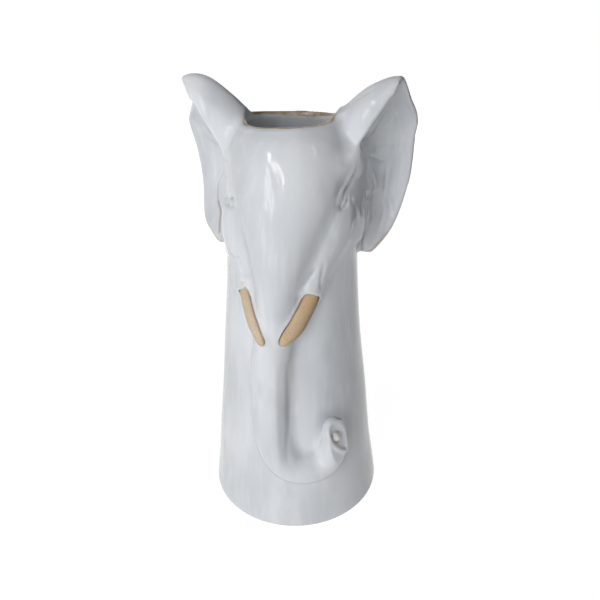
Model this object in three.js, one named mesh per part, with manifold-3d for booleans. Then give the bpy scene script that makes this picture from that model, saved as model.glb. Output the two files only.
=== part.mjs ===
// Elephant-head vase in glazed stoneware.
// Millimetres, +Z up. The origin is the middle of the foot, on the table. The elephant faces -Y,
// so its own left side is +X. The pieces are the ones a potter lutes together before firing:
// a hollow vessel, and a head, trunk, ears, tusks and eyes that seat on it over a thin slip joint.
import * as THREE from "three";
import { mergeVertices } from "three/addons/utils/BufferGeometryUtils.js";
import Module from "manifold-3d";

const wasm = await Module();
wasm.setup();

// Vessel
const rimHeight = 228;
const footRadius = 52.5;
const waistRadius = 35.8;
const mouthRadius = 24.5; // to the middle of the lip
const waistDrop = 56; // from the lip down to the waist, where the taper ends under the head
const taperPower = 1.4;
const shoulderPower = 3.3;
const wall = 5;
const floorThickness = 7;
const floorFillet = 9;
const footRounding = 3;
const footRingWidth = 6;
const footRecess = 2.2;
const vesselSides = 48;
const wallRows = 13;
const shoulderRows = 6;

// Joints
const slipGap = 0.3; // every applied piece clears its seat by this much
const seatDepth = 2; // how far an applied piece is drawn into its seat before it is cut back

// Head: a relief over the front of the shoulder. Heights are drops below the lip.
const headTopDrop = 4.5;
const headBottomDrop = 87;
const headHalfAngle = 84;
const jawRise = 30; // how much higher the jaw line is under the ears than beside the tusks
const jawStart = 33; // degrees from the front
const jawSpread = 9; // degrees
const headEdge = 1.6;
const browDrop = 33;
const foreheadSpread = 23;
const foreheadFade = 18;
const foreheadHeight = 10.8;
const crownSpread = 0.8; // widening of the forehead above the brow, per millimetre
const crownFade = 24;
const cheekHeight = 2.6;
const cheekAngle = 50;
const cheekDrop = 58;
const cheekWidth = 22; // degrees
const cheekLength = 17;
const headColumns = 37;
const headRows = 16;

// Eyes
const eyeAngle = 55;
const eyeDrop = 36.5;
const eyeLength = 9;
const eyeHeight = 4.4;
const eyeDepth = 4.6;
const eyeTilt = 38; // degrees, the outer corner higher

// Trunk: a J drawn on the unrolled wall and wrapped round it
const trunkRootRadius = 11;
const hookTubeRadius = 12.6;
const trunkEndRadius = 8.4;
const trunkLean = 3; // sideways drift from the head to the hook
const hookRadius = 16;
const hookHeight = 43; // middle of the trunk at the bottom of the hook
const hookSweep = 160; // degrees
const snoutLength = 11;
const snoutShare = 0.9; // share of the snout that is the separate tip
const snoutLift = 9; // how far the tip stands off the wall
const snoutFlare = 0.9;
const trunkSink = 4.9; // how far the middle of the tube lies inside the wall's face at the hook
const nostrilLength = 9;
const nostrilWidth = 4;
const nostrilDepth = 8;
const trunkSteps = 30;
const trunkSides = 14;

// Tusks and the sheaths that they come out of
const tuskAngle = 28.5;
const tuskDrop = 76;
const tuskTipAngle = 6;
const tuskTipDrop = 107;
const tuskRadius = 4.2;
const tuskTipRadius = 1.9;
const tuskRootLift = 1.6;
const tuskTipLift = 8.6;
const tuskBow = 2; // degrees that the middle bows outwards
const tuskHidden = 5; // length inside the sheath
const sheathWall = 1.7;
const sheathLength = 17;
const sheathEndRadius = 3;
const sheathHood = 1.2; // how far the rolled edge reaches down over the tusk

// Ears
const earThickness = 5;
const earEdgeThickness = 3.4;
const earSpan = 25; // from the waist's side out to the widest point
const earTipRise = 18.5; // above the lip
const earLobeDrop = 70; // below the lip
const earSweep = 26; // how far the middle of the ear lies behind its root
const earColumns = 9;
const earRows = 27;

const glazedStoneware = new THREE.MeshStandardMaterial({ color: 0xd8dce0, roughness: 0.12, metalness: 0 });
const bareStoneware = new THREE.MeshStandardMaterial({ color: 0xc8a882, roughness: 0.85, metalness: 0 });

const radians = THREE.MathUtils.degToRad;
const lerp = THREE.MathUtils.lerp;
const smoothstep = THREE.MathUtils.smoothstep;
const lipRadius = wall / 2;
const waistHeight = rimHeight - waistDrop;
const shoulderTop = rimHeight - lipRadius;

// Solids

function toSolid(geometry) {
  const bare = new THREE.BufferGeometry().setAttribute("position", geometry.getAttribute("position").clone());
  if (geometry.index) bare.setIndex(geometry.index.clone());
  const merged = mergeVertices(bare, 1e-4);
  return new wasm.Manifold(
    new wasm.Mesh({
      numProp: 3,
      vertProperties: new Float32Array(merged.getAttribute("position").array),
      triVerts: new Uint32Array(merged.index.array),
    }),
  );
}

function toGeometry(solid) {
  const mesh = solid.getMesh();
  const geometry = new THREE.BufferGeometry();
  geometry.setAttribute("position", new THREE.BufferAttribute(mesh.vertProperties, 3));
  geometry.setIndex(new THREE.BufferAttribute(mesh.triVerts, 1));
  geometry.computeVertexNormals();
  return geometry;
}

// A closed surface from rings of equally many points, with a flat cap on each end.
function loft(rings) {
  const count = rings[0].length;
  const points = rings.flat();
  const index = [];
  for (let r = 0; r < rings.length - 1; r++) {
    for (let i = 0; i < count; i++) {
      const a = r * count + i;
      const b = r * count + ((i + 1) % count);
      index.push(a, b, b + count, a, b + count, a + count);
    }
  }
  const caps = [
    [0, true],
    [rings.length - 1, false],
  ];
  for (const [r, first] of caps) {
    const middle = rings[r].reduce((sum, p) => sum.add(p), new THREE.Vector3()).divideScalar(count);
    const centre = points.push(middle) - 1;
    for (let i = 0; i < count; i++) {
      const a = r * count + i;
      const b = r * count + ((i + 1) % count);
      index.push(...(first ? [centre, b, a] : [centre, a, b]));
    }
  }
  const geometry = new THREE.BufferGeometry().setFromPoints(points);
  geometry.setIndex(index);
  return toSolid(geometry);
}

// A closed shell between two grids of points, grid[row][column], joined round their border.
function shell(front, back, border = []) {
  const rows = front.length;
  const columns = front[0].length;
  const points = [...front.flat(), ...back.flat()];
  const offset = rows * columns;
  const at = (r, c) => r * columns + c;
  const index = [];
  for (let r = 0; r < rows - 1; r++) {
    for (let c = 0; c < columns - 1; c++) {
      const quad = [at(r, c), at(r, c + 1), at(r + 1, c + 1), at(r + 1, c)];
      index.push(quad[0], quad[1], quad[2], quad[0], quad[2], quad[3]);
      const far = quad.map((i) => i + offset);
      index.push(far[2], far[1], far[0], far[3], far[2], far[0]);
    }
  }
  const walk = [];
  for (let c = 0; c < columns - 1; c++) walk.push([0, c]);
  for (let r = 0; r < rows - 1; r++) walk.push([r, columns - 1]);
  for (let c = columns - 1; c > 0; c--) walk.push([rows - 1, c]);
  for (let r = rows - 1; r > 0; r--) walk.push([r, 0]);
  const edge = walk.map(([r, c], i) => {
    const middle = border.length ? points.push(border[r][c]) - 1 : -1;
    return { near: at(r, c), far: at(r, c) + offset, middle, next: (i + 1) % walk.length };
  });
  for (const e of edge) {
    const n = edge[e.next];
    if (e.middle < 0) {
      index.push(e.near, e.far, n.far, e.near, n.far, n.near);
    } else {
      index.push(e.near, e.middle, n.middle, e.near, n.middle, n.near);
      index.push(e.middle, e.far, n.far, e.middle, n.far, n.middle);
    }
  }
  const geometry = new THREE.BufferGeometry().setFromPoints(points);
  geometry.setIndex(index);
  return toSolid(geometry);
}

// Vessel

function bodyRadius(height) {
  if (height <= waistHeight) {
    return waistRadius + (footRadius - waistRadius) * (1 - Math.max(height, 0) / waistHeight) ** taperPower;
  }
  const share = Math.min(1, (height - waistHeight) / (shoulderTop - waistHeight));
  return waistRadius + (mouthRadius + lipRadius - waistRadius) * share ** shoulderPower;
}

function outerHeights() {
  const heights = [];
  for (let i = 0; i < wallRows; i++) heights.push(lerp(footRounding, waistHeight, i / wallRows));
  for (let i = 0; i <= shoulderRows; i++) heights.push(lerp(waistHeight, shoulderTop, i / shoulderRows));
  return heights;
}

function arc(x, y, radius, from, to, steps) {
  return Array.from({ length: steps + 1 }, (_, i) => {
    const angle = radians(lerp(from, to, i / steps));
    return new THREE.Vector2(x + radius * Math.cos(angle), y + radius * Math.sin(angle));
  });
}

function revolve(outline) {
  return toSolid(new THREE.LatheGeometry(outline, vesselSides).rotateX(Math.PI / 2));
}

function makeVessel() {
  const footSide = bodyRadius(footRounding);
  const ringInner = footSide - footRounding - footRingWidth;
  const cavityRadius = (height) => bodyRadius(height) - wall;
  const filletTop = floorThickness + floorFillet;
  const inside = outerHeights().filter((h) => h > filletTop + floorFillet / 2).reverse();
  const filletSide = cavityRadius(filletTop);
  return revolve([
    new THREE.Vector2(0, footRecess),
    new THREE.Vector2(ringInner - footRecess, footRecess),
    new THREE.Vector2(ringInner, 0),
    ...arc(footSide - footRounding, footRounding, footRounding, -90, 0, 3),
    ...outerHeights()
      .slice(1)
      .map((h) => new THREE.Vector2(bodyRadius(h), h)),
    ...arc(mouthRadius, shoulderTop, lipRadius, 0, 180, 6).slice(1),
    ...inside.slice(1).map((h) => new THREE.Vector2(cavityRadius(h), h)),
    ...arc(filletSide - floorFillet, filletTop, floorFillet, 0, -90, 3),
    new THREE.Vector2(0, floorThickness),
  ]);
}

// What an applied piece is cut back with, so that it seats on the wall over a slip joint.
function makeWallCutter() {
  const outline = outerHeights().map((h) => new THREE.Vector2(bodyRadius(h) + slipGap, h));
  return revolve([
    new THREE.Vector2(0, -slipGap),
    new THREE.Vector2(bodyRadius(0) + slipGap, -slipGap),
    ...outline,
    ...arc(mouthRadius, shoulderTop, lipRadius + slipGap, 0, 90, 3).slice(1),
    new THREE.Vector2(0, rimHeight + slipGap),
  ]);
}

// A point on the vessel's wall. The angle is in degrees from the front, towards the elephant's left.
function onWall(angle, height, lift = 0) {
  const radius = bodyRadius(height) + lift;
  return new THREE.Vector3(radius * Math.sin(radians(angle)), -radius * Math.cos(radians(angle)), height);
}

// Head

function jawHeight(angle) {
  const rise = 1 - Math.exp(-Math.max(0, Math.abs(angle) - jawStart) / jawSpread);
  return rimHeight - headBottomDrop + jawRise * rise;
}

function faceHalfWidth(height) {
  const above = height - (rimHeight - browDrop);
  const spread = above > 0 ? foreheadSpread + crownSpread * above : foreheadSpread * Math.exp(above / foreheadFade);
  return trunkRootRadius + spread;
}

function headRelief(angle, height) {
  const across = radians(Math.abs(angle)) * bodyRadius(height);
  const share = Math.min(1, across / faceHalfWidth(height));
  const topFade = smoothstep(rimHeight - headTopDrop - height, 0, crownFade) ** 0.7;
  const ridge = foreheadHeight * (1 - share * share) ** 0.6;
  const cheekAcross = (Math.abs(angle) - cheekAngle) / cheekWidth;
  const cheekUp = (height - (rimHeight - cheekDrop)) / cheekLength;
  const cheek = cheekHeight * Math.exp(-cheekAcross * cheekAcross - cheekUp * cheekUp);
  const blended = Math.hypot(ridge, cheek);
  return headEdge + (blended - headEdge * (1 - Math.exp(-blended))) * topFade;
}

function makeHead(grow = 0) {
  const top = rimHeight - headTopDrop + grow;
  const limit = headHalfAngle + THREE.MathUtils.radToDeg(grow / mouthRadius);
  const front = [];
  const back = [];
  for (let r = 0; r < headRows; r++) {
    const frontRow = [];
    const backRow = [];
    for (let c = 0; c < headColumns; c++) {
      const angle = lerp(-limit, limit, c / (headColumns - 1));
      const height = lerp(jawHeight(angle) - grow, top, r / (headRows - 1));
      frontRow.push(onWall(angle, height, headRelief(angle, height) + grow));
      backRow.push(onWall(angle, height, -seatDepth));
    }
    front.push(frontRow);
    back.push(backRow);
  }
  return shell(front, back);
}

// A small ball of clay, drawn out and set on the head.
function makeEye(side) {
  const angle = side * eyeAngle;
  const height = rimHeight - eyeDrop;
  const ball = new THREE.SphereGeometry(0.5, 14, 10);
  ball.scale(eyeLength, eyeDepth, eyeHeight);
  ball.rotateY(radians(-side * eyeTilt));
  ball.rotateZ(radians(angle));
  const middle = onWall(angle, height, headRelief(angle, height));
  ball.translate(middle.x, middle.y, middle.z);
  return toSolid(ball);
}

// Sweeps. Each station is { point, radius }, and a ring's first point faces away from the vessel.

function sweep(stations, sides) {
  const rings = stations.map(({ point, radius }, i) => {
    const before = stations[Math.max(0, i - 1)].point;
    const after = stations[Math.min(stations.length - 1, i + 1)].point;
    const along = after.clone().sub(before).normalize();
    const out = new THREE.Vector3(point.x, point.y, 0).normalize();
    out.addScaledVector(along, -out.dot(along)).normalize();
    const across = along.clone().cross(out);
    return Array.from({ length: sides }, (_, k) => {
      const turn = (2 * Math.PI * k) / sides;
      return point
        .clone()
        .addScaledVector(out, radius * Math.cos(turn))
        .addScaledVector(across, radius * Math.sin(turn));
    });
  });
  return loft(rings);
}

// Trunk

function trunkPath() {
  const top = rimHeight - headBottomDrop;
  const centre = new THREE.Vector2(hookRadius - trunkLean, hookHeight + hookRadius);
  const end = Math.PI + radians(hookSweep);
  const leave = new THREE.Vector2(-Math.sin(end), Math.cos(end));
  const last = new THREE.Vector2(Math.cos(end), Math.sin(end)).multiplyScalar(hookRadius).add(centre);
  const path = new THREE.Path();
  path.moveTo(0, top);
  path.lineTo(-trunkLean, centre.y);
  path.absarc(centre.x, centre.y, hookRadius, Math.PI, end, false);
  path.lineTo(last.x + leave.x * snoutLength, last.y + leave.y * snoutLength);
  return path;
}

function trunkStations(grow = 0) {
  const path = trunkPath();
  const length = path.getLength();
  const hookStart = path.curves[0].getLength() / length;
  const snoutStart = 1 - path.curves[2].getLength() / length;
  return path.getSpacedPoints(trunkSteps).map((p, i) => {
    const share = i / trunkSteps;
    const hooked = smoothstep(share, hookStart * 0.7, (hookStart + snoutStart) / 2);
    const raised = Math.max(0, (share - snoutStart + 0.08) / (1 - snoutStart + 0.08));
    const lift = -trunkSink * hooked + (trunkSink + snoutLift) * raised ** 1.3;
    const tube = lerp(trunkRootRadius, hookTubeRadius, hooked);
    const narrowing = smoothstep(share, (hookStart + snoutStart) / 2, 0.97);
    const radius = lerp(tube, trunkEndRadius, narrowing) + snoutFlare * raised ** 6;
    const angle = THREE.MathUtils.radToDeg(p.x / bodyRadius(p.y));
    return { point: onWall(angle, p.y, lift), radius: radius + grow, share };
  });
}

// The plane where the free end is luted on, as a block that holds everything past it.
function snoutBlock(gap) {
  const stations = trunkStations();
  const split = 1 - (snoutShare * snoutLength) / trunkPath().getLength();
  const first = stations.findIndex((s) => s.share > split);
  const along = stations[first].point.clone().sub(stations[first - 1].point).normalize();
  const width = 2.4 * (trunkEndRadius + snoutFlare);
  const length = 2 * snoutLength;
  const middle = stations[first - 1].point.clone().addScaledVector(along, gap + length / 2);
  const block = new THREE.BoxGeometry(width, width, length);
  block.applyQuaternion(new THREE.Quaternion().setFromUnitVectors(new THREE.Vector3(0, 0, 1), along));
  block.translate(middle.x, middle.y, middle.z);
  return toSolid(block);
}

function makeTrunk(grow = 0) {
  return sweep(trunkStations(grow), trunkSides).subtract(snoutBlock(grow));
}

// The free end, which starts one slip gap past the end of the trunk and holds the nostril.
function makeTrunkTip() {
  const stations = trunkStations();
  const end = stations[trunkSteps].point;
  const along = end.clone().sub(stations[trunkSteps - 1].point).normalize();
  const hole = new THREE.CylinderGeometry(0.5, 0.3, 2 * nostrilDepth, 12);
  hole.scale(nostrilWidth, 1, nostrilLength);
  hole.applyQuaternion(new THREE.Quaternion().setFromUnitVectors(new THREE.Vector3(0, 1, 0), along));
  hole.translate(end.x, end.y, end.z);
  return sweep(stations, trunkSides).intersect(snoutBlock(slipGap)).subtract(toSolid(hole));
}

// Tusks

function tuskPoint(side, share) {
  const angle = lerp(tuskAngle, tuskTipAngle, share ** 1.25) + tuskBow * Math.sin(Math.PI * share);
  const height = rimHeight - lerp(tuskDrop, tuskTipDrop, share);
  const lift = lerp(tuskRootLift, tuskTipLift, Math.max(0, share) ** 1.3);
  return onWall(side * angle, height, lift);
}

function makeTusk(side, grow = 0) {
  const drawn = tuskTipDrop - tuskDrop;
  const steps = 11;
  const stations = Array.from({ length: steps + 1 }, (_, i) => {
    const share = i / steps;
    const rounding = Math.sqrt(Math.max(0.06, 1 - Math.max(0, (share - 0.8) / 0.2) ** 2));
    const radius = lerp(tuskRadius, tuskTipRadius, Math.max(0, share - 0.35) / 0.65) * rounding;
    return { point: tuskPoint(side, share), radius: radius + grow };
  });
  const root = tuskPoint(side, 0);
  const up = root.clone().sub(tuskPoint(side, 0.1)).normalize();
  const hidden = root.addScaledVector(up, tuskHidden + grow);
  return sweep([{ point: hidden, radius: tuskRadius * 0.8 + grow }, ...stations], 10);
}

function makeSheath(side) {
  const root = tuskPoint(side, 0);
  const up = root.clone().sub(tuskPoint(side, 0.1)).normalize();
  const full = tuskRadius + sheathWall;
  const stations = [
    [sheathLength, sheathEndRadius * 0.5],
    [sheathLength * 0.85, sheathEndRadius],
    [sheathLength * 0.5, full * 0.95],
    [sheathLength * 0.2, full * 1.08],
    [0, full],
    [-sheathHood, full - sheathWall * 0.55],
  ];
  return sweep(
    stations.map(([along, radius]) => ({ point: root.clone().addScaledVector(up, along), radius })),
    14,
  );
}

// Ears. An ear is one cupped sheet. Its columns run from the root on the head out to the rim,
// and each column climbs from the lobe, over the fold at the top, and down the flap in front.
// A guide point is [out, back, up] in shares of the ear's span, sweep and height, counted from
// the side of the waist, the vessel's axis and the bottom of the lobe.

const earRoot = [
  [0.02, 0.04, 0.03],
  [-0.04, 0.23, 0.25],
  [-0.08, 0.31, 0.5],
  [-0.24, 0.27, 0.69],
  [-0.44, 0, 0.8],
  [-0.28, -0.35, 0.72],
  [-0.12, -0.46, 0.59],
];
const earMiddle = [
  [0.15, 0.12, 0.01],
  [0.42, 0.66, 0.17],
  [0.46, 0.86, 0.46],
  [0.48, 0.7, 0.72],
  [0.25, -0.08, 0.965],
  [0.32, -0.35, 0.875],
  [0.36, -0.42, 0.77],
];
const earRim = [
  [0.28, 0.15, 0],
  [0.78, 0.68, 0.11],
  [0.89, 1, 0.44],
  [1, 0.77, 0.735],
  [0.83, -0.1, 0.99],
  [0.81, -0.17, 0.97],
  [0.76, -0.21, 0.94],
];

function guide(shares) {
  const lobe = rimHeight - earLobeDrop;
  const points = shares.map(
    ([out, back, up]) =>
      new THREE.Vector3(
        waistRadius + out * earSpan,
        back * earSweep,
        lobe + up * (earLobeDrop + earTipRise),
      ),
  );
  return new THREE.CatmullRomCurve3(points, false, "centripetal");
}

const earGuides = [earRoot, earMiddle, earRim].map(guide);

// across runs from 0 at the root to 1 at the rim, and along from 0 at the lobe to 1 at the flap's edge.
function earSheet(across, along) {
  const [root, middle, rim] = earGuides.map((curve) => curve.getPoint(along));
  const point = root.multiplyScalar((1 - across) * (1 - 2 * across));
  point.addScaledVector(middle, 4 * across * (1 - across));
  return point.addScaledVector(rim, across * (2 * across - 1));
}

function earNormal(across, along) {
  const step = 0.004;
  const a = THREE.MathUtils.clamp(across, step, 1 - step);
  const b = THREE.MathUtils.clamp(along, step, 1 - step);
  const out = earSheet(a + step, b).sub(earSheet(a - step, b));
  const up = earSheet(a, b + step).sub(earSheet(a, b - step));
  return out.cross(up).normalize();
}

function makeEar() {
  const front = [];
  const back = [];
  const border = [];
  for (let r = 0; r < earRows; r++) {
    const along = r / (earRows - 1);
    const rows = [[], [], []];
    for (let c = 0; c < earColumns; c++) {
      const across = c / (earColumns - 1);
      const middle = earSheet(across, along);
      const normal = earNormal(across, along);
      const thin = Math.max(across ** 3, (2 * along - 1) ** 8);
      const half = lerp(earThickness, earEdgeThickness, thin) / 2;
      rows[0].push(middle.clone().addScaledVector(normal, half));
      rows[1].push(middle.clone().addScaledVector(normal, -half));
      const inward = earSheet(
        THREE.MathUtils.clamp(across, 0.02, 0.98),
        THREE.MathUtils.clamp(along, 0.02, 0.98),
      );
      rows[2].push(middle.clone().add(middle.clone().sub(inward).setLength(half * 0.7)));
    }
    front.push(rows[0]);
    back.push(rows[1]);
    border.push(rows[2]);
  }
  return shell(front, back, border);
}

function mirrored(solid) {
  const geometry = toGeometry(solid);
  geometry.scale(-1, 1, 1);
  const index = geometry.index.array;
  for (let i = 0; i < index.length; i += 3) [index[i + 1], index[i + 2]] = [index[i + 2], index[i + 1]];
  return toSolid(geometry);
}

// Assembly: each piece is cut back to the pieces that carry it.

const vase = new THREE.Group();

function addPiece(name, solid, material) {
  const mesh = new THREE.Mesh(toGeometry(solid), material);
  mesh.name = name;
  vase.add(mesh);
}

const wallCutter = makeWallCutter();
const headCutter = makeHead(slipGap);
const head = makeHead().subtract(wallCutter);
const ear = makeEar().subtract(wallCutter).subtract(headCutter);
const trunkCutter = makeTrunk(slipGap);
const trunk = makeTrunk().subtract(wallCutter).subtract(headCutter);

addPiece("vessel", makeVessel(), glazedStoneware);
addPiece("head", head, glazedStoneware);
addPiece("trunk", trunk, glazedStoneware);
addPiece("trunk_tip", makeTrunkTip().subtract(wallCutter), glazedStoneware);
addPiece("left_ear", ear, glazedStoneware);
addPiece("right_ear", mirrored(ear), glazedStoneware);
const sides = { left: 1, right: -1 };
for (const [name, side] of Object.entries(sides)) {
  const seats = [wallCutter, headCutter, trunkCutter];
  const tusk = seats.reduce((solid, seat) => solid.subtract(seat), makeTusk(side));
  const sheath = [...seats, makeTusk(side, slipGap)].reduce((solid, seat) => solid.subtract(seat), makeSheath(side));
  addPiece(`${name}_tusk`, tusk, bareStoneware);
  addPiece(`${name}_tusk_sheath`, sheath, glazedStoneware);
  addPiece(`${name}_eye`, makeEye(side).subtract(headCutter), glazedStoneware);
}

export default vase;
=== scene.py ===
import math

import bmesh
import bpy
import numpy as np
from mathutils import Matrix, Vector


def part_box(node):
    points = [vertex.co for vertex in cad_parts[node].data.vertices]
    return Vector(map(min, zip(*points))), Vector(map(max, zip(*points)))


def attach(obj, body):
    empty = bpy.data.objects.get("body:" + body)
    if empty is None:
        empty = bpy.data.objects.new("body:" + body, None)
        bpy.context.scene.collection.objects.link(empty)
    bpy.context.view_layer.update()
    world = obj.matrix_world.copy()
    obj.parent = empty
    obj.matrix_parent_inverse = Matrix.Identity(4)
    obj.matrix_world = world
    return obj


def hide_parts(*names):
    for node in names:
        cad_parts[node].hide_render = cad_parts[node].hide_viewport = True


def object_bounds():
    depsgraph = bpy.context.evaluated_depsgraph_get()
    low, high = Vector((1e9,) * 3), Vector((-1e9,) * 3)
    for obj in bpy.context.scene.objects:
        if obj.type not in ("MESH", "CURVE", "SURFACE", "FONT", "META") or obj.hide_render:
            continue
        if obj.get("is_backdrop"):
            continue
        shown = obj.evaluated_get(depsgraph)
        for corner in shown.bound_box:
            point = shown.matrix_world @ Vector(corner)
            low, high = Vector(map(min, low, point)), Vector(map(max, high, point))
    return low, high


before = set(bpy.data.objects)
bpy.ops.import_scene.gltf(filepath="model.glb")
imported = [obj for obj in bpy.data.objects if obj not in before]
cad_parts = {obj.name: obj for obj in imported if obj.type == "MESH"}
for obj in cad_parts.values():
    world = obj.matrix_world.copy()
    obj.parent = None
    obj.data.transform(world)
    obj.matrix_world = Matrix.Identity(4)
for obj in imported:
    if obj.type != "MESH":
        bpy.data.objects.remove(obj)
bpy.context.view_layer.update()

import openvdb
from mathutils import Matrix, Quaternion, Vector

mm = 0.001
scene = bpy.context.scene

vesselLow, vesselHigh = (np.array(corner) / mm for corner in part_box("vessel"))
vessel = {
    "rimHeight": vesselHigh[2],
    "footRadius": (vesselHigh[0] - vesselLow[0]) / 2 + 0.4,  # the taper loses 0.4 over the foot's rounding
    "footRounding": 3.0,
    "waistRadius": 35.8,
    "waistDrop": 56.0,
    "taperPower": 1.4,
    "shoulderPower": 3.3,
    "mouthRadius": 24.5,  # to the middle of the lip
    "wall": 5.0,
    "floor": 7.0,
    "footRing": 6.0,
    "footRecess": 2.2,
    "lipThin": 1.6,  # the lip is scraped thinner than the wall
    "rimWave": 0.6,  # how far the hand-cut rim runs up and down
    "rimLift": (2.8, 4.6),  # and up to the ears, right and left
    "rimThick": 1.3,  # clay pressed in beside the ears narrows the mouth
    "headShift": 2.0,  # the top sits a little to the elephant's left of the foot
    "throwing": 0.35,  # depth of the soft vertical finger marks
}
rimHeight = vessel["rimHeight"]
waistHeight = rimHeight - vessel["waistDrop"]
lipRadius = vessel["wall"] / 2


def onScene(name, data):
    # A new object, linked to the scene.
    thing = bpy.data.objects.new(name, data)
    scene.collection.objects.link(thing)
    return thing


def unit(vectors):
    return vectors / np.maximum(np.linalg.norm(vectors, axis=-1, keepdims=True), 1e-9)


def smoothstep(x, low, high):
    t = np.clip((x - low) / (high - low), 0, 1)
    return t * t * (3 - 2 * t)


def bell(*shares):
    # A soft bump, one in the middle and nearly nought at twice its reach.
    return np.exp(-sum(share ** 2 for share in shares))


def eased(x, knots, values):
    # A smooth curve through the knots, without overshoot.
    knots, values = np.array(knots, float), np.array(values, float)
    step = np.diff(values) / np.diff(knots)
    before, after = (np.where(k, k, 1) for k in (step[:-1], step[1:]))
    level = np.where(step[1:] * step[:-1] > 0, 2 / (1 / after + 1 / before), 0)
    slope = np.concatenate([[0], level, [0]])
    i = np.clip(np.searchsorted(knots, x) - 1, 0, len(knots) - 2)
    width = knots[i + 1] - knots[i]
    t = np.clip((x - knots[i]) / width, 0, 1)
    a, b = values[i], values[i + 1]
    bend = width * (slope[i] * (t ** 3 - 2 * t ** 2 + t) + slope[i + 1] * (t ** 3 - t ** 2))
    return a + (b - a) * (3 * t ** 2 - 2 * t ** 3) + bend


def wallRadius(z):
    v = vessel
    low = 1 - np.clip(z, 0, waistHeight) / waistHeight
    foot = v["waistRadius"] + (v["footRadius"] - v["waistRadius"]) * low ** v["taperPower"]
    up = np.clip((z - waistHeight) / (rimHeight - lipRadius - waistHeight), 0, 1)
    neck = v["mouthRadius"] + lipRadius - v["waistRadius"]
    return foot + neck * up ** v["shoulderPower"]


def axisShift(z):
    return vessel["headShift"] * smoothstep(z, 120, 215) - 0.6 * smoothstep(z, 0, 60)


def faceTurn(z):
    # The face is set a few degrees askew, which takes the trunk to the elephant's right.
    return np.interp(z, [40, 80, 112, 122, 150, 192, 228], [-1.2, -1.6, -1.2, 0.2, 2.2, 4.6, 5.0])


def onWall(angle, z, lift=0.0):
    # angle in degrees from the middle of the face, towards the elephant's left
    a = np.radians(angle + faceTurn(z))
    r = wallRadius(z) + lift
    return np.stack([r * np.sin(a) + axisShift(z), -r * np.cos(a), z + 0 * a], axis=-1)


head = {
    "jaw": 142.0,
    "halfAngle": {1: 102.0, -1: 88.0},
    "foreheadHeight": 10.6,
    "skin": 1.2,  # the whole face stands this far off the wall
    # Mounds, and the hollow of the eye, on both sides: depth, angle and half width, height and half height.
    "temple": (2.6, 70, 22, 213, 13),
    "cheek": (1.6, 58, 18, 178, 12),
    "socket": (1.3, 48, 8, 194.5, 6),
    # An upright fold beside each cheek: depth, angle and half width, and the heights where it comes in.
    "cheekFolds": [(0.7, 55.5, 3.2, 171, 176), (0.5, -52, 3.4, 173, 178)],
    "foldsEnd": (184, 192),
    # How much of the face's relief is left towards the rim: heights and shares.
    "crown": (
        [150, 172, 180, 187, 195, 206, 217, 223, 227, 229.5],
        [1, 1, 0.985, 0.93, 0.81, 0.60, 0.42, 0.30, 0.14, 0],
    ),
    # Half the width of the middle ridge, from the trunk's root to the crown: heights and halves.
    "ridge": (
        [130, 139, 150, 160, 168, 182, 191, 200, 210, 228],
        [8.5, 9.2, 11, 13.2, 15.6, 20.5, 25, 30, 35, 44],
    ),
    # How far the temple and the cheek stand off the wall beside each ear, by height.
    "sideHeights": [160, 166, 172, 178, 184, 188, 191, 197, 201, 206, 210, 214],
    "sideLifts": {
        1: [2.3, 2.6, 3.9, 4.4, 4.2, 3.3, 2.6, 2.4, 2.4, 2.8, 3.0, 3.0],
        -1: [0.0, 0.4, 0.6, 0.5, 0.2, -0.2, -0.5, -0.8, -0.6, 1.0, 2.4, 3.0],
    },
    "sideFrom": (58, 76),  # it comes in between these angles
    "sideEnd": (214, 222),  # and ends between these heights
    # The rolled edge of each ear runs on as a thin brow line down to the eye: angle and height.
    "browLines": {
        1: [(76, 217), (67.7, 211), (60.4, 207.2), (55.1, 204.3), (49.5, 200.1), (46, 196.3), (43.0, 193)],
        -1: [(-78, 219), (-66, 212.5), (-56.1, 206.3), (-48.4, 201), (-44, 197.7), (-41.5, 194.5)],
    },
    # The jaw's lower edge round each side: angle out from the middle and height.
    "jawAngles": [30, 34, 36, 38.5, 44, 64, 90],
    "jawHeights": {1: [142, 148, 152, 156, 160, 164, 165], -1: [142, 146, 151.5, 157, 160.8, 161.5, 163]},
    "jawSoftness": {1: 8.0, -1: 1.6},  # it fades out on the left, and stands off as an edge on the right
}


def bySide(angle, value):
    # Each side's own value, left for angles above nought.
    return np.where(angle > 0, value[1], value[-1])


def easedBySide(angle, x, knots, values):
    return bySide(angle, {side: eased(x, knots, row) for side, row in values.items()})


def jawLine(angle):
    return easedBySide(angle, np.abs(angle), head["jawAngles"], head["jawHeights"])


def headMask(angle, z):
    jaw = jawLine(angle)
    soft = bySide(angle, head["jawSoftness"])
    edge = np.clip((z - jaw + soft) / (2 * soft), 0, 1)
    edge = edge * edge * (3 - 2 * edge)
    middle = 1 - smoothstep(np.abs(angle), 22, 30)
    under = middle + (1 - middle) * edge
    low = smoothstep(z, head["jaw"] - 16, head["jaw"] + 2)
    past = np.abs(angle) - bySide(angle, head["halfAngle"])
    return under * low * (1 - smoothstep(past, -10, 12))


def besideLine(line, across, z):
    # How far a point of the wall is from a line on it, which side it is on, and how far along, 0 to 1.
    points = np.array([(math.radians(a) * float(wallRadius(h)), h) for a, h in line])
    best = np.full(np.shape(z), 1e9)
    side = np.zeros(np.shape(z))
    along = np.zeros(np.shape(z))
    for k, (start, way) in enumerate(zip(points, np.diff(points, axis=0))):
        dx, dz = across - start[0], z - start[1]
        t = np.clip((dx * way[0] + dz * way[1]) / (way @ way), 0, 1)
        distance = np.hypot(dx - t * way[0], dz - t * way[1])
        nearer = distance < best
        best = np.where(nearer, distance, best)
        side = np.where(nearer, way[0] * dz - way[1] * dx, side)
        along = np.where(nearer, (k + t) / (len(points) - 1), along)
    return best, side, along


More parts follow.
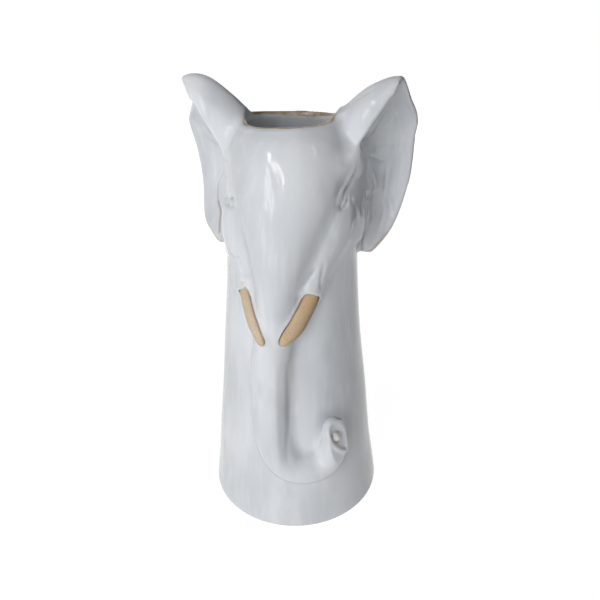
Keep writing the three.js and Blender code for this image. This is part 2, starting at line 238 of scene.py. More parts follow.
def browStep(angle, z, side):
    # A thin ridge, with the hollow of the ear just under it.
    across = np.radians(angle) * wallRadius(z)
    distance, turn, along = besideLine(head["browLines"][side], across, z)
    ends = smoothstep(along, 0.02, 0.3) * (1 - smoothstep(along, 0.8, 1.0))
    ridge = 0.9 * bell(distance / 1.5)
    hollow = 1.5 * (turn * side > 0) * smoothstep(distance, 0.4, 3.2) * bell(distance / 9)
    return (ridge - hollow) * ends


def mound(angle, z, depth, middle, width, height, tall):
    return depth * bell((angle - middle) / width, (z - height) / tall)


def headRelief(angle, z):
    h = head
    wide = np.abs(angle)
    across = np.radians(wide) * wallRadius(z)
    half = 1.1 * eased(z, *h["ridge"])
    share = np.clip(across / half, 0, 1)
    crown = eased(z, *h["crown"])
    ridge = h["foreheadHeight"] * (1 - share ** 2) ** 1.1
    temple, cheek, socket = (mound(wide, z, *h[name]) for name in ("temple", "cheek", "socket"))
    above = 1 - smoothstep(z, *h["foldsEnd"])
    fold = 0
    for depth, middle, width, start, full in h["cheekFolds"]:
        fold = fold + depth * bell((angle - middle) / width) * smoothstep(z, start, full) * above
    relief = np.hypot(ridge, cheek + temple) + h["skin"] + fold - socket
    relief = (relief + browStep(angle, z, 1) + browStep(angle, z, -1)) * crown
    beside = easedBySide(angle, z, h["sideHeights"], h["sideLifts"])
    share = smoothstep(wide, *h["sideFrom"]) * (1 - smoothstep(z, *h["sideEnd"]))
    return (relief + share * (beside - relief)) * headMask(angle, z)


def handmade(angle, z):
    # Soft vertical finger marks and a slightly uneven wall.
    a = np.radians(angle)
    marks = np.sin(7 * a + 0.02 * z) + 0.7 * np.sin(11 * a - 0.013 * z + 1.7)
    waves = 0.6 * np.sin(0.055 * z + 2 * a) + 0.5 * np.sin(0.09 * z - 3 * a + 0.8)
    return vessel["throwing"] * (0.5 * marks + waves) * smoothstep(z, 4, 30)


def rimLevel(a):
    wave = np.sin(2 * a + 0.6) + 0.6 * np.sin(3 * a + 2.0) + 0.35 * np.sin(5 * a)
    right, left = vessel["rimLift"]
    beside = np.abs(np.sin(a)) ** 6 * np.where(np.sin(a) > 0, left, right)
    return vessel["rimWave"] * wave / 1.6 + 0.9 + 0.5 * np.sin(a) + beside


def ringsToMesh(rings):
    rows, count = rings.shape[:2]
    points = np.concatenate([rings.reshape(-1, 3), rings[:1].mean(1), rings[-1:].mean(1)])
    r, i = np.meshgrid(np.arange(rows - 1), np.arange(count), indexing="ij")
    j = (i + 1) % count
    quads = np.stack([r * count + i, r * count + j, (r + 1) * count + j, (r + 1) * count + i], -1)
    i = np.arange(count)
    j = (i + 1) % count
    last = (rows - 1) * count
    first = np.stack([i * 0 + rows * count, j, i], -1)
    end = np.stack([i * 0 + rows * count + 1, last + i, last + j], -1)
    return points, quads.reshape(-1, 4), np.concatenate([first, end])


def turned(profile, count, shape=None):
    # A body of revolution from (radius, height) points, from the bottom to the top.
    a = np.linspace(0, 2 * np.pi, count, endpoint=False)
    rings = []
    for r, z in profile:
        centre = axisShift(z)
        level = rimLevel(a) * smoothstep(z, rimHeight - 30, rimHeight)
        rings.append(np.stack([r * np.sin(a) + centre, -r * np.cos(a), z + level], -1))
    rings = np.array(rings)
    if shape is not None:
        rings = shape(rings, a)
    return ringsToMesh(rings)


def quarter(radius, centreRadius, centreHeight, start, end):
    t = np.radians(np.linspace(start, end, 6))
    return [(centreRadius + radius * math.cos(k), centreHeight + radius * math.sin(k)) for k in t]


def bodyForm():
    v = vessel
    rounding = v["footRounding"]
    side = float(wallRadius(rounding))
    profile = quarter(rounding, side - rounding, rounding, -90, 0)[:-1]
    heights = np.arange(rounding, rimHeight - lipRadius, 1.1)
    profile += [(float(wallRadius(z)), z) for z in heights]
    profile += quarter(lipRadius, v["mouthRadius"], rimHeight - lipRadius, 0, 90)

    def shape(rings, a):
        z = rings[..., 2]
        angle = np.degrees(a)[None, :] - faceTurn(z)
        angle = (angle + 180) % 360 - 180
        lift = headRelief(angle, z) + handmade(angle, z)
        rings[..., 0] += lift * np.sin(a)
        rings[..., 1] -= lift * np.cos(a)
        return rings

    return turned(profile, 288, shape)


def cavityForm():
    v = vessel
    fillet = 9.0
    inner = lambda z: float(wallRadius(z)) - v["wall"]
    base = v["floor"] + fillet
    profile = quarter(fillet, inner(base) - fillet, base, -90, 0)[:-1]
    lip = v["lipThin"]
    heights = np.arange(base, rimHeight - 1.2, 2.4)
    profile += [(inner(z) + lip * float(smoothstep(z, rimHeight - 16, rimHeight)), z) for z in heights]
    edge = inner(rimHeight - lipRadius) + lip
    profile += [(edge + 0.5, rimHeight - 0.5), (edge + 1.2, rimHeight + 0.6), (edge + 0.6, rimHeight + 16)]

    def shape(rings, a):
        nearRim = smoothstep(rings[..., 2], rimHeight - 22, rimHeight - 6)
        thick = v["rimThick"] * np.abs(np.sin(a)) ** 4 * nearRim
        rings[..., 0] -= thick * np.sin(a)
        rings[..., 1] += thick * np.cos(a)
        return rings

    return turned(profile, 160, shape)


def recessForm():
    v = vessel
    inner = float(wallRadius(3)) - v["footRounding"] - v["footRing"]
    return turned([(inner, -6), (inner, 0), (inner - v["footRecess"], v["footRecess"])], 160)


# The trunk's middle line: [mm round the wall from the middle of the face, height, lift, radius].
trunkGuide = [
    (0, 160, 0.4, 10.2), (0, 140, 0.4, 10.6), (-0.8, 115, 0.3, 10.8), (-1.4, 90, 0.1, 10.8),
    (-1.2, 72, 0, 10.7), (0.2, 59.4, -0.6, 10.6), (4, 49.8, -1.3, 10.4), (10.2, 43.8, -1.6, 10.1),
    (17.5, 42.0, -1.2, 9.7), (24.5, 42.6, -0.2, 9.2), (29.4, 46, 1.4, 8.6), (31.2, 51.4, 3.8, 8.0),
    (31.4, 58, 6.6, 7.5), (30.6, 65, 9, 7.2), (29.9, 71, 10.8, 6.9), (29.6, 74, 11.4, 6.4),
    (29.5, 76.5, 11.9, 5.4), (29.4, 78.2, 12.2, 3.6), (29.4, 79, 12.3, 1.2),
]
# The pinched lip round the end, as it lies on the wall: [angle, height, lift, thickness].
snoutLip = [
    (34.7, 74.6, 14.2, 0.9), (36.8, 76.4, 13.6, 1.0), (39.8, 76.0, 13.0, 1.1), (42.7, 72.6, 11.8, 1.1),
    (45.3, 67.5, 10.6, 1.0), (47.5, 59.8, 9.8, 0.9), (47.5, 54.7, 9.6, 0.9), (42.5, 58.0, 11.4, 1.0),
    (37.1, 64.4, 13.2, 1.0), (34.7, 70.5, 14.2, 0.9),
]
snout = {
    "tipHeights": (56, 95),  # the tip is the part of the trunk between these heights
    "tipAngles": (24, 70),
    "hollow": (12.3, 4.5, 1.4),  # half sizes of the dished end
    "hollowOut": 0.7,
    "hollowUp": 1.2,
    "nostril": (39.8, 67.9, 12.5),  # angle, height, lift
    "nostrilHalves": (4.9, 3.5, 1.9),
    "seedHalves": (3.6, 2.5, 1.8),  # the pip of clay left in it
    "seedSunk": 0.7,
}


def alongGuide(guide, count):
    # A smooth path through the guide's rows, in even steps.
    rows = smoothCurve(guide, np.linspace(0, 1, 400))
    run = np.concatenate([[0], np.cumsum(np.linalg.norm(np.diff(rows[:, :2], axis=0), axis=1))])
    even = np.linspace(0, run[-1], count)
    return np.stack([np.interp(even, run, column) for column in rows.T], -1)


def trunkStations():
    rows = alongGuide(trunkGuide, 110)
    angle = np.degrees(rows[:, 0] / wallRadius(rows[:, 1]))
    return onWall(angle, rows[:, 1], rows[:, 2]), rows[:, 3]


def snoutFace():
    # The end's corners, its middle, and its long, short and outward directions.
    rows = np.array(snoutLip)
    corners = onWall(rows[:, 0], rows[:, 1], rows[:, 2])
    middle = corners.mean(0)
    long, short, out = np.linalg.svd(corners - middle)[2]
    if out @ (middle * (1, 1, 0)) < 0:
        out = -out
    return corners, rows[:, 3], middle, np.stack([long, short, out])


def addNode(tree, kind, settings=None, **links):
    # One node with its settings. A link's name has _ for a space, and it brings a node, a socket or a value.
    node = tree.nodes.new(kind)
    for name, value in (settings or {}).items():
        setattr(node, name, value)
    for name, value in links.items():
        socket = node.inputs[int(name[1:])] if name[1:].isdigit() else node.inputs[name.replace("_", " ")]
        if isinstance(value, bpy.types.Node):
            value = value.outputs[0]
        if isinstance(value, bpy.types.NodeSocket):
            tree.links.new(value, socket)
        else:
            socket.default_value = value
    return node


def sweptTubeTree():
    # A closed tube along a curve, as thick at each point as the curve's radius says.
    tree = bpy.data.node_groups.new("sweptTube", "GeometryNodeTree")
    face = tree.interface
    face.new_socket("Path", in_out="INPUT", socket_type="NodeSocketGeometry")
    for name, kind in (("Sides", "Int"), ("Rings", "Int"), ("Clay", "Material")):
        face.new_socket(name, in_out="INPUT", socket_type="NodeSocket" + kind)
    face.new_socket("Tube", in_out="OUTPUT", socket_type="NodeSocketGeometry")
    given = addNode(tree, "NodeGroupInput")
    even = addNode(tree, "GeometryNodeResampleCurve", Curve=given.outputs["Path"], Count=given.outputs["Rings"])
    radius = addNode(tree, "GeometryNodeInputRadius")
    circle = addNode(
        tree, "GeometryNodeCurvePrimitiveCircle", {"mode": "RADIUS"},
        Resolution=given.outputs["Sides"], Radius=1.0,
    )
    tube = addNode(
        tree, "GeometryNodeCurveToMesh", Curve=even, Profile_Curve=circle, Fill_Caps=True
    )
    if "Scale" in tube.inputs:
        tree.links.new(radius.outputs[0], tube.inputs["Scale"])
    weld = addNode(tree, "GeometryNodeMergeByDistance", Geometry=tube, Distance=1e-7)
    whole = addNode(tree, "GeometryNodeRealizeInstances", Geometry=weld)
    clay = addNode(tree, "GeometryNodeSetMaterial", Geometry=whole, Material=given.outputs["Clay"])
    addNode(tree, "NodeGroupOutput", _0=clay)
    return tree


tubeTree = sweptTubeTree()


def sweepTube(name, path, radius, sides, rings, material=None):
    # path and radius in millimetres; the result is a plain mesh object in metres
    curve = bpy.data.curves.new(name + "Path", "CURVE")
    curve.dimensions = "3D"
    spline = curve.splines.new("POLY")
    spline.points.add(len(path) - 1)
    for point, place, r in zip(spline.points, path, radius):
        point.co = (*(float(c) * mm for c in place), 1)
        point.radius = float(r) * mm
    guide = onScene(name + "Path", curve)
    sweep = guide.modifiers.new("sweptTube", "NODES")
    sweep.node_group = tubeTree
    sockets = {s.name: s.identifier for s in tubeTree.interface.items_tree if s.in_out == "INPUT"}
    sweep[sockets["Sides"]] = sides
    sweep[sockets["Rings"]] = rings
    if material is not None:
        sweep[sockets["Clay"]] = material
    graph = bpy.context.evaluated_depsgraph_get()
    mesh = bpy.data.meshes.new_from_object(guide.evaluated_get(graph))
    bpy.data.objects.remove(guide)
    tube = onScene(name, mesh)
    shaping = bmesh.new()
    shaping.from_mesh(mesh)
    bmesh.ops.recalc_face_normals(shaping, faces=shaping.faces)
    shaping.to_mesh(mesh)
    shaping.free()
    return tube


def takeForm(obj):
    # The mesh as millimetre points, quads and triangles, and the object is gone.
    mesh = obj.data
    shaping = bmesh.new()
    shaping.from_mesh(mesh)
    bmesh.ops.triangulate(shaping, faces=shaping.faces)
    points = np.array([v.co for v in shaping.verts]) / mm
    triangles = np.array([[v.index for v in f.verts] for f in shaping.faces])
    shaping.free()
    bpy.data.objects.remove(obj)
    return points, np.zeros((0, 4), int), triangles


# Each tusk's middle line: [angle, height, lift, half its width].
tuskGuides = {
    1: [
        (28.8, 157, 0.2, 2.4), (27.3, 153, 1.7, 3.3), (25.2, 148.5, 3.3, 4.1), (22.3, 143.6, 4.6, 4.1),
        (18.1, 138.7, 6.4, 4.1), (14.4, 133.7, 8.0, 4.0), (10.9, 130.2, 9.3, 3.4), (8.2, 127.3, 10.1, 2.5),
        (6.9, 125.8, 10.4, 1.5), (6.5, 125.2, 10.4, 0.6),
    ],
    -1: [
        (-29.6, 156.5, -0.2, 2.2), (-28.4, 152.4, 1.3, 3.0), (-26.0, 149.6, 3.0, 4.0), (-21.9, 144.4, 4.9, 3.9),
        (-18.2, 140, 6.3, 3.9), (-14.0, 135.4, 8.1, 3.8), (-9.8, 130.8, 9.6, 3.4), (-5.9, 126.6, 10.8, 2.4),
        (-4.7, 125.1, 11.1, 1.3), (-4.4, 124.6, 11.1, 0.6),
    ],
}
# Each cheek runs down into the sleeve that holds the tusk: [angle, height, lift, radius].
cheekGuides = {
    1: [
        (59, 194, -12, 11), (54.5, 187.9, -8.6, 11.2), (47.1, 180.9, -7.6, 11.5), (40.3, 174, -6.3, 10.2),
        (35.2, 167.2, -4.2, 7.6), (31.4, 161.8, -1.8, 5.8), (28.5, 156.2, 0.7, 5.1), (25.8, 151.4, 2.6, 5.0),
        (25.0, 149.9, 3.0, 4.8),
    ],
    -1: [
        (-45.8, 186.7, -7.2, 10), (-44.3, 178.5, -6.0, 9.8), (-41.6, 170.9, -4.0, 8.4),
        (-37.2, 164.9, -1.6, 6.6), (-33.4, 159.5, 0.4, 5.0), (-30.2, 153.8, 1.9, 4.2),
        (-27.9, 150.4, 2.5, 4.6), (-27.2, 149.2, 2.8, 4.6),
    ],
}
tusk = {
    "flat": {1: 0.74, -1: 0.62},  # thickness as a share of the width
    "lean": {1: 0, -1: -24},  # the right one lies against the trunk's flank
    "slip": 0.3,  # dark gap round the tusk where the glaze stops
    "bed": 1.3,  # the glazed clay swells this much wider than the tusk
    "bedSunk": 1.6,  # and lies this much lower
    "sheathFrom": 0.5,
}


def guideOnWall(guide, count, start=0.0):
    rows = alongGuide(guide, count)[int(start * count) :]
    return onWall(rows[:, 0], rows[:, 1], rows[:, 2]), rows[:, 3]


def flattened(points, path, side):
    # Each ring of a swept tube is pressed towards the clay it lies on.
    nearest = np.argmin(((points[:, None] - path[None]) ** 2).sum(2), axis=1)
    centre = path[nearest]
    way = np.arctan2(centre[:, 0], -centre[:, 1]) + math.radians(tusk["lean"][side])
    out = np.stack([np.sin(way), -np.cos(way), 0 * way], -1)
    depth = ((points - centre) * out).sum(1, keepdims=True)
    return points - (1 - tusk["flat"][side]) * depth * out


def tuskForm(side, grow, sink, name):
    path, half = guideOnWall(tuskGuides[side], 70)
    path = path - unit(path * (1, 1, 0)) * sink
    points, quads, triangles = takeForm(sweepTube(name, path, half + grow, 28, 70))
    return flattened(points, path, side), quads, triangles


ear = {
    "thickness": 4.6,
    "edge": 3.0,
    "across": 64,  # rows of points from the root to the rim
    "along": 170,
}

# Guide points from the lobe round to the front of the flap: [out from the axis, back, height] in mm.
earGuides = {
    1: {
        "root": [
            (37.3, 1, 161.2), (35.4, 6, 179.3), (34.4, 8, 200.9), (32.4, 8.2, 212.6),
            (29.4, 7, 220.9), (27, 4, 227.3), (24.9, 0.5, 231.5), (26.6, -9, 225.1),
            (31.7, -12.6, 214.8),
        ],
        "middle": [
            (40.9, 3.2, 159.6), (44, 16.5, 175.9), (45.6, 21.5, 197.5), (47, 20, 214.8),
            (47.1, 15.5, 226.3), (44.2, 6.8, 237.1), (41, -3, 244.3), (40.8, -9.5, 239.4),
            (41.9, -12.5, 230.9),
        ],
        "rim": [
            (44.1, 4, 159.6), (52.3, 17, 170.6), (58.3, 23, 194.2), (59, 22, 215.3),
            (60.6, 17, 226.2), (57.2, 8, 238.2), (53.7, -2, 248.6), (52.6, -5.5, 247.8),
            (50.5, -8, 243.2),
        ],
    },
    -1: {
        "root": [
            (36.1, 1, 160.5), (35.2, 6, 178.5), (33.6, 8, 200.6), (32, 8.1, 209.6),
            (29.9, 7, 217.8), (26.7, 4, 226), (25.2, 0.5, 231.2), (25.5, -9, 223.5),
            (31.8, -12.6, 213.8),
        ],
        "middle": [
            (40.9, 3.2, 159.2), (47.2, 16.5, 174.4), (48, 21.5, 197.4), (49.4, 19.5, 210.9),
            (50, 15, 223.7), (45.6, 6, 235.6), (41.6, -3, 246.1), (41.8, -9.5, 238.9),
            (41.5, -12.5, 228.8),
        ],
        "rim": [
            (44.2, 4, 158.6), (56.4, 17, 168.3), (59, 23, 189.5), (60.2, 21, 207.9),
            (61.5, 16, 224.3), (54.3, 6, 234.4), (55.4, -2, 247), (53, -5.5, 244.6),
            (49.8, -8, 239.4),
        ],
    },
}


def smoothCurve(points, t):
    # Centripetal Catmull-Rom through the points, t from 0 to 1 in equal shares of the spans.
    p = np.array(points, float)
    p = np.concatenate([2 * p[:1] - p[1:2], p, 2 * p[-1:] - p[-2:-1]])
    knots = np.concatenate([[0], np.cumsum(np.linalg.norm(np.diff(p, axis=0), axis=1) ** 0.5)])
    spans = len(p) - 3
    s = np.clip(t * spans, 0, spans - 1e-9)
    i = s.astype(int)
    f = s - i
    t0, t1, t2, t3 = (knots[i + k] for k in range(4))
    u = t1 + (t2 - t1) * f
    mix = lambda a, b, ta, tb: a * ((tb - u) / (tb - ta))[:, None] + b * ((u - ta) / (tb - ta))[:, None]
    p0, p1, p2, p3 = (p[i + k] for k in range(4))
    a1, a2, a3 = mix(p0, p1, t0, t1), mix(p1, p2, t1, t2), mix(p2, p3, t2, t3)
    b1, b2 = mix(a1, a2, t0, t2), mix(a2, a3, t1, t3)
    return mix(b1, b2, t1, t2)


def earRipple(u, v, side):
    # Uneven pinching all over, and waves along the lower rim.
    pinched = 0.25 * np.sin(9 * u + 4 * v + side) * np.sin(7 * v - 3 * u)
    return pinched + 0.4 * np.sin(2 * np.pi * (4.6 * v + 0.2 * side)) * smoothstep(u, 0.7, 1) * (v < 0.6)


def earForm(side):
    e = ear
    guides = earGuides[side]
    v = np.linspace(0, 1, e["along"])
    u = np.linspace(0, 1, e["across"])
    root, middle, rim = (smoothCurve(guides[g], v)[:, None] for g in ("root", "middle", "rim"))
    a = u[None, :, None]
    sheet = root * (1 - a) * (1 - 2 * a) + middle * 4 * a * (1 - a) + rim * a * (2 * a - 1)
    du = np.gradient(sheet, axis=1)
    dv = np.gradient(sheet, axis=0)
    normal = unit(np.cross(du, dv))
    sheet = sheet + normal * earRipple(u[None, :], v[:, None], side)[..., None]
    thin = np.maximum(u[None, :] ** 3, np.abs(2 * v[:, None] - 1) ** 8)
    half = (e["thickness"] + (e["edge"] - e["thickness"]) * thin)[..., None] / 2
    front = sheet + normal * half
    back = sheet - normal * half
    # The border is rolled over from the front to the back.
    rows, columns = sheet.shape[:2]
    walk = [(0, c) for c in range(columns - 1)]
    walk += [(r, columns - 1) for r in range(rows - 1)]
    walk += [(rows - 1, c) for c in range(columns - 1, 0, -1)]
    walk += [(r, 0) for r in range(rows - 1, 0, -1)]
    row, column = np.array(walk).T
    edge, edgeHalf, edgeNormal = (grid[row, column] for grid in (sheet, half, normal))
    outward = unit(edge - sheet[np.clip(row, 2, rows - 3), np.clip(column, 2, columns - 3)])
    border = [
        edge + edgeHalf * (0.8 * math.cos(turn) * outward + math.sin(turn) * edgeNormal)
        for turn in np.radians([50, 0, -50])
    ]
    count = len(walk)
    points = np.concatenate([front.reshape(-1, 3), back.reshape(-1, 3), *border])
    offset = rows * columns
    r, c = np.meshgrid(np.arange(rows - 1), np.arange(columns - 1), indexing="ij")
    first = r * columns + c
    quad = np.stack([first, first + 1, first + columns + 1, first + columns], -1).reshape(-1, 4)
    quads = [quad, quad[:, ::-1] + offset]
    near = row * columns + column
    rings = [near] + [2 * offset + k * count + np.arange(count) for k in range(3)] + [near + offset]
    for upper, lower in zip(rings, rings[1:]):
        quads.append(np.stack([upper, lower, np.roll(lower, -1), np.roll(upper, -1)], -1))
    quads = np.concatenate(quads)
    points[:, 0] = points[:, 0] * side + axisShift(points[:, 2])
    if side < 0:
        quads = quads[:, ::-1]
    return points, quads, np.zeros((0, 3), int)


# Folds, creases and tool marks in the soft clay: depth in mm (less than 0 for a ridge), width, and path.
folds = {
    "leftBrowRidge": (-0.6, 0.7, [(36.7, -16.2, 212.7), (34.6, -17, 206.9), (32.6, -19.2, 202.5),
        (30.4, -23.6, 198.7), (29, -26.2, 193.4)]),
    "leftBrowGroove": (0.6, 0.7, [(37, -14.6, 210.4), (35.5, -13.1, 205), (33.9, -15.1, 201.5),
        (32.5, -18.1, 198.7), (31.5, -21, 196.5)]),
    "leftLid": (-0.4, 0.6, [(33.6, -16.1, 199.7), (32.6, -18.7, 197.4), (31.5, -21, 195.5),
        (30.9, -22.6, 193.4)]),
    "leftEyeShade": (0.4, 1.1, [(34.4, -17.2, 195.5), (35.4, -16.7, 193.4), (35.6, -17.7, 191.2)]),
    "leftCrease": (3.6, 1.0, [(40.1, -3.2, 193.2), (40.5, 3, 187.5), (40.8, 6.8, 182.3), (40.8, 7.2, 177.5),
        (40.7, 6, 172.7), (40.1, 3.7, 168.8), (39.4, 1.9, 165.5), (39.2, 0.6, 160.9)]),
    "leftCreaseLip": (-0.8, 0.9, [(39, -6.8, 192.7), (39.8, -7.3, 187.6), (40.5, -7.3, 183.9),
        (40.2, -8, 178.2), (39.4, -7.9, 172.1), (37.6, -0.7, 163)]),
    "leftCheekFold": (0.6, 0.9, [(36.3, -15.9, 191.2), (37.3, -15.1, 186.8), (37.5, -15.1, 182.6),
        (36.4, -17.7, 179.2), (35.9, -16.6, 174.5)]),
    "leftCheekFold2": (-0.5, 0.8, [(37.9, -12.5, 189.1), (38.5, -12.2, 185.4), (38.2, -12.8, 180.8),
        (37.4, -13.7, 176.8)]),
    "leftEarRidge": (-0.7, 0.7, [(40.2, -0.1, 207.9), (40.4, -0.4, 202.9), (41.8, 3, 195.8)]),
    "leftEarRidge2": (-0.7, 0.7, [(41.4, 3.3, 205.6), (42.9, 10.1, 199.2), (43.9, 12.8, 194.2),
        (44.3, 15.7, 190.1)]),
    "leftEarGroove": (0.5, 0.7, [(41, 2.1, 206.4), (41.5, 3.3, 202), (42.7, 8.5, 196.4), (42.9, 13.1, 190.8)]),
    "leftHook": (0.7, 0.8, [(40.5, 1.1, 208.2), (40.3, 1.7, 210.5), (41.8, 6.9, 209.4), (43.9, 12.2, 207.2),
        (46.2, 15.9, 205.4), (50.6, 19.7, 204.6)]),
    "leftHookTop": (-0.6, 1.2, [(41.4, 5.8, 210.6), (42.4, 9.3, 211.9), (44.2, 11.9, 213), (48.4, 15.7, 213.4),
        (51.8, 17.9, 213.5)]),
    "leftHookLine": (0.4, 0.9, [(42.4, 9.3, 213.5), (45, 12.7, 214.4), (48.4, 15.3, 215), (50.8, 16.8, 215.3)]),
    "leftStep": (0.6, 1.1, [(48.7, 18.5, 203.8), (47.9, 18.7, 197.2), (47.7, 18.9, 191.1), (47, 17.9, 185.8)]),
    "leftStepSide": (-0.4, 1.2, [(49.7, 19.6, 201.9), (49.5, 19.9, 195.9), (48.7, 19.7, 189.8)]),
    "leftWave": (-0.6, 0.8, [(47.5, 18.2, 185.1), (49.4, 18.4, 180.1), (49.1, 17.4, 176.9),
        (48.9, 15.9, 173.4), (48.2, 13.6, 170.1), (47.8, 8.9, 165.3)]),
    "leftWaveShade": (0.5, 1.4, [(46.1, 16.8, 183.8), (47.4, 16.9, 179.3), (46.8, 14.7, 174.2),
        (46.2, 11.6, 169.5)]),
    "leftWave2": (-0.6, 0.8, [(51.7, 20.2, 184.7), (52.1, 19.2, 180), (53.4, 18.3, 176.9),
        (54.2, 17.3, 173.8)]),
    "leftWaveGroove": (0.4, 0.9, [(50.2, 19.6, 183.7), (51, 19, 180), (51.2, 18.1, 176.8)]),
    "leftNick": (0.6, 0.8, [(42.6, 11.6, 177.9), (42.4, 10, 174.4), (41.3, 6.9, 170.8)]),
    "leftUpper": (-0.5, 1.0, [(50.5, 6.9, 235.8), (50, 12.1, 228.2), (52.5, 15.5, 223.7)]),
    "leftUpper2": (0.4, 1.0, [(51.9, 7.5, 235.7), (51.4, 11.6, 229.8), (53.4, 15.3, 224.8)]),
    "leftUnderFlap": (0.5, 1.0, [(50.5, 6.4, 236.3), (47.6, 8.5, 232.1), (44.7, 10.3, 227.4),
        (41.3, 11.1, 221.2), (38.6, 5.6, 217.7), (37.8, -0.2, 216.4)]),
    "leftValley": (1.1, 4.5, [(27.6, -7.3, 233.3), (29, -9.8, 230.9), (31.5, -13.1, 226.5), (33, -15.3, 220.9),
        (32.8, -19.9, 215.7), (31.8, -21.6, 211.4)]),
    "leftFlapRoll": (0.35, 0.8, [(30.2, -6, 235.9), (33.6, -7, 238.9), (37.5, -7.9, 241.8),
        (42.1, -8.1, 244.6), (47.1, -8.3, 246.5)]),
    "leftSleeveRight": (0.8, 1.1, [(24.4, -32.1, 165.7), (23.7, -33.5, 161.4), (23.5, -35, 156.5),
        (23.3, -36.2, 152.6)]),
    "leftSleeveLeft": (0.7, 1.3, [(20.9, -34.4, 164.2), (18.7, -36.2, 161), (16.6, -38.3, 157.4),
        (14.5, -40.4, 153.8)]),
    "trunkEdge": (-0.5, 1.8, [(2.3, -49.6, 113.3), (2.1, -50.8, 95.2), (2.4, -52.3, 76.5), (3, -53.9, 60.7),
        (4.6, -54.9, 50.4)]),
    "trunkFoot": (0.9, 2.2, [(7.8, -43.9, 113.5), (7.4, -44.2, 91.4), (7.6, -46.6, 69.5), (7.9, -51.5, 56),
        (10.1, -54.1, 46.3)]),
    "rightUnderFlap": (0.5, 0.8, [(-55.2, 12.5, 226.3), (-53, 14.9, 221.7), (-50.2, 15.8, 217.9),
        (-47.7, 16.1, 214.1), (-45.8, 16.3, 209.7)]),
    "rightThumb": (0.6, 1.3, [(-54.4, 17.2, 216.9), (-51.8, 17.6, 214.2), (-48.3, 17.2, 211.7),
        (-46.1, 16.8, 208.5)]),
    "rightFold": (0.7, 0.7, [(-32, -14.6, 215.9), (-31.1, -14.8, 212.5), (-30.1, -15.5, 208.6),
        (-26.6, -22.8, 207.1), (-27, -21.1, 201.5), (-25.6, -22.9, 197.5), (-23.9, -25.5, 194.2)]),
    "rightLoopGroove": (0.8, 0.7, [(-43, 15.6, 196.5), (-46.7, 18.3, 191.6), (-48.4, 18.3, 185.6),
        (-48.3, 17.1, 181.2), (-47.3, 15.3, 177.6), (-45.3, 12.2, 173.3), (-45.2, 9.1, 167.7),
        (-44.3, 5.6, 163.5)]),
    "rightLoopRidge": (-0.6, 0.7, [(-44.8, 17.3, 196.6), (-47.5, 18.9, 191.4), (-50, 19.4, 186.4)]),
    "rightCheekGroove": (0.6, 0.8, [(-27.8, -21, 197.9), (-28.5, -21.4, 193.8), (-27.5, -26.9, 189.2),
        (-26.4, -29.3, 185.4)]),
    "rightUnder": (0.5, 1.0, [(-19.7, -33.6, 192.3), (-17.4, -36.6, 189.9), (-17.1, -36.6, 186.3)]),
    "rightJaw": (0.8, 0.9, [(-28.9, -27.5, 173.8), (-27.7, -28.7, 169.4), (-25.2, -31.8, 167),
        (-22.2, -34.4, 166), (-19.2, -35.4, 166.2), (-18, -36.2, 163.3), (-17.5, -37.1, 159.3)]),
}

eye = {
    "halves": {1: (2.7, 1.0, 1.1), -1: (3.0, 2.1, 1.9)},  # along, across and deep
    "socket": {1: (4.2, 1.9, 1.2), -1: (3.6, 2.6, 0.7)},
    "sunk": {1: 1.0, -1: 0.3},
    "place": {1: (50.8, 193.4, 38), -1: (-46.5, 192.0, -20)},  # angle, height, tilt
}

clay = {
    "voxel": 0.76,  # the grid's step, in mm
    "band": 11,  # voxels either side of a form's surface
    "wideBand": 26,
    "far": 60,  # mm, beyond the reach of any form
    "untangle": 18,  # turns at most
    "otherTurn": 9,  # every ninth goes by the other neighbour, or they would go round in circles
    "relax": 3,  # rounds of smoothing, each followed by a return to the surface
    "lastRelax": 0.35,
    "jointRelax": 8,
    "bendReach": 1.7,  # edges and creases are told apart over this many mm
    "jointDepth": 0.4,  # the joints' first inner row lies this far under the skin, in mm
    "mostFaces": 190000,
}
# How far the wet clay is smeared across each joint, in mm.
smear = {
    "trunk": 4.0, "cheek": 7.0, "bed": 3.0, "ear": 3.0, "earTop": 1.5, "leftBowl": 12, "lip": 2.2, "eye": 0.7,
}
# How soft the edge of each cut is, in mm.
cutEdge = {"snout": 1.0, "nostril": 0.8, "eyeSocket": 1.2, "tuskSocket": 0.4, "cavity": 1.0, "recess": 0.8}
clayLow = np.floor(np.array([-70.0, -60.0, -6.0]) / clay["voxel"]).astype(int)
clayHigh = np.ceil(np.array([70.0, 56.0, 258.0]) / clay["voxel"]).astype(int)
clayShape = tuple(clayHigh - clayLow)


def distanceTo(form, band=clay["band"]):
    # Signed distance in millimetres at each grid point, negative inside.
    points, quads, triangles = form
    grid = openvdb.FloatGrid.createLevelSetFromPolygons(
        np.ascontiguousarray(points, np.float32),
        triangles=np.ascontiguousarray(triangles, np.uint32),
        quads=np.ascontiguousarray(quads, np.uint32),
        transform=openvdb.createLinearTransform(voxelSize=clay["voxel"]),
        halfWidth=band,
    )
    distance = np.zeros(clayShape, np.float32)
    grid.copyToArray(distance, ijk=tuple(int(k) for k in clayLow))
    return distance


def nearby(points, margin=8.0):
    # The part of the grid round some points, and the places of its grid points.
    low = np.floor((np.min(points, 0) - margin) / clay["voxel"]).astype(int) - clayLow
    high = np.ceil((np.max(points, 0) + margin) / clay["voxel"]).astype(int) - clayLow
    low, high = np.maximum(low, 0), np.minimum(high, clayShape)
    box = tuple(slice(a, b) for a, b in zip(low, high))
    axes = [(np.arange(a, b) + c) * clay["voxel"] for a, b, c in zip(low, high, clayLow)]
    return box, np.stack(np.meshgrid(*axes, indexing="ij"), -1)


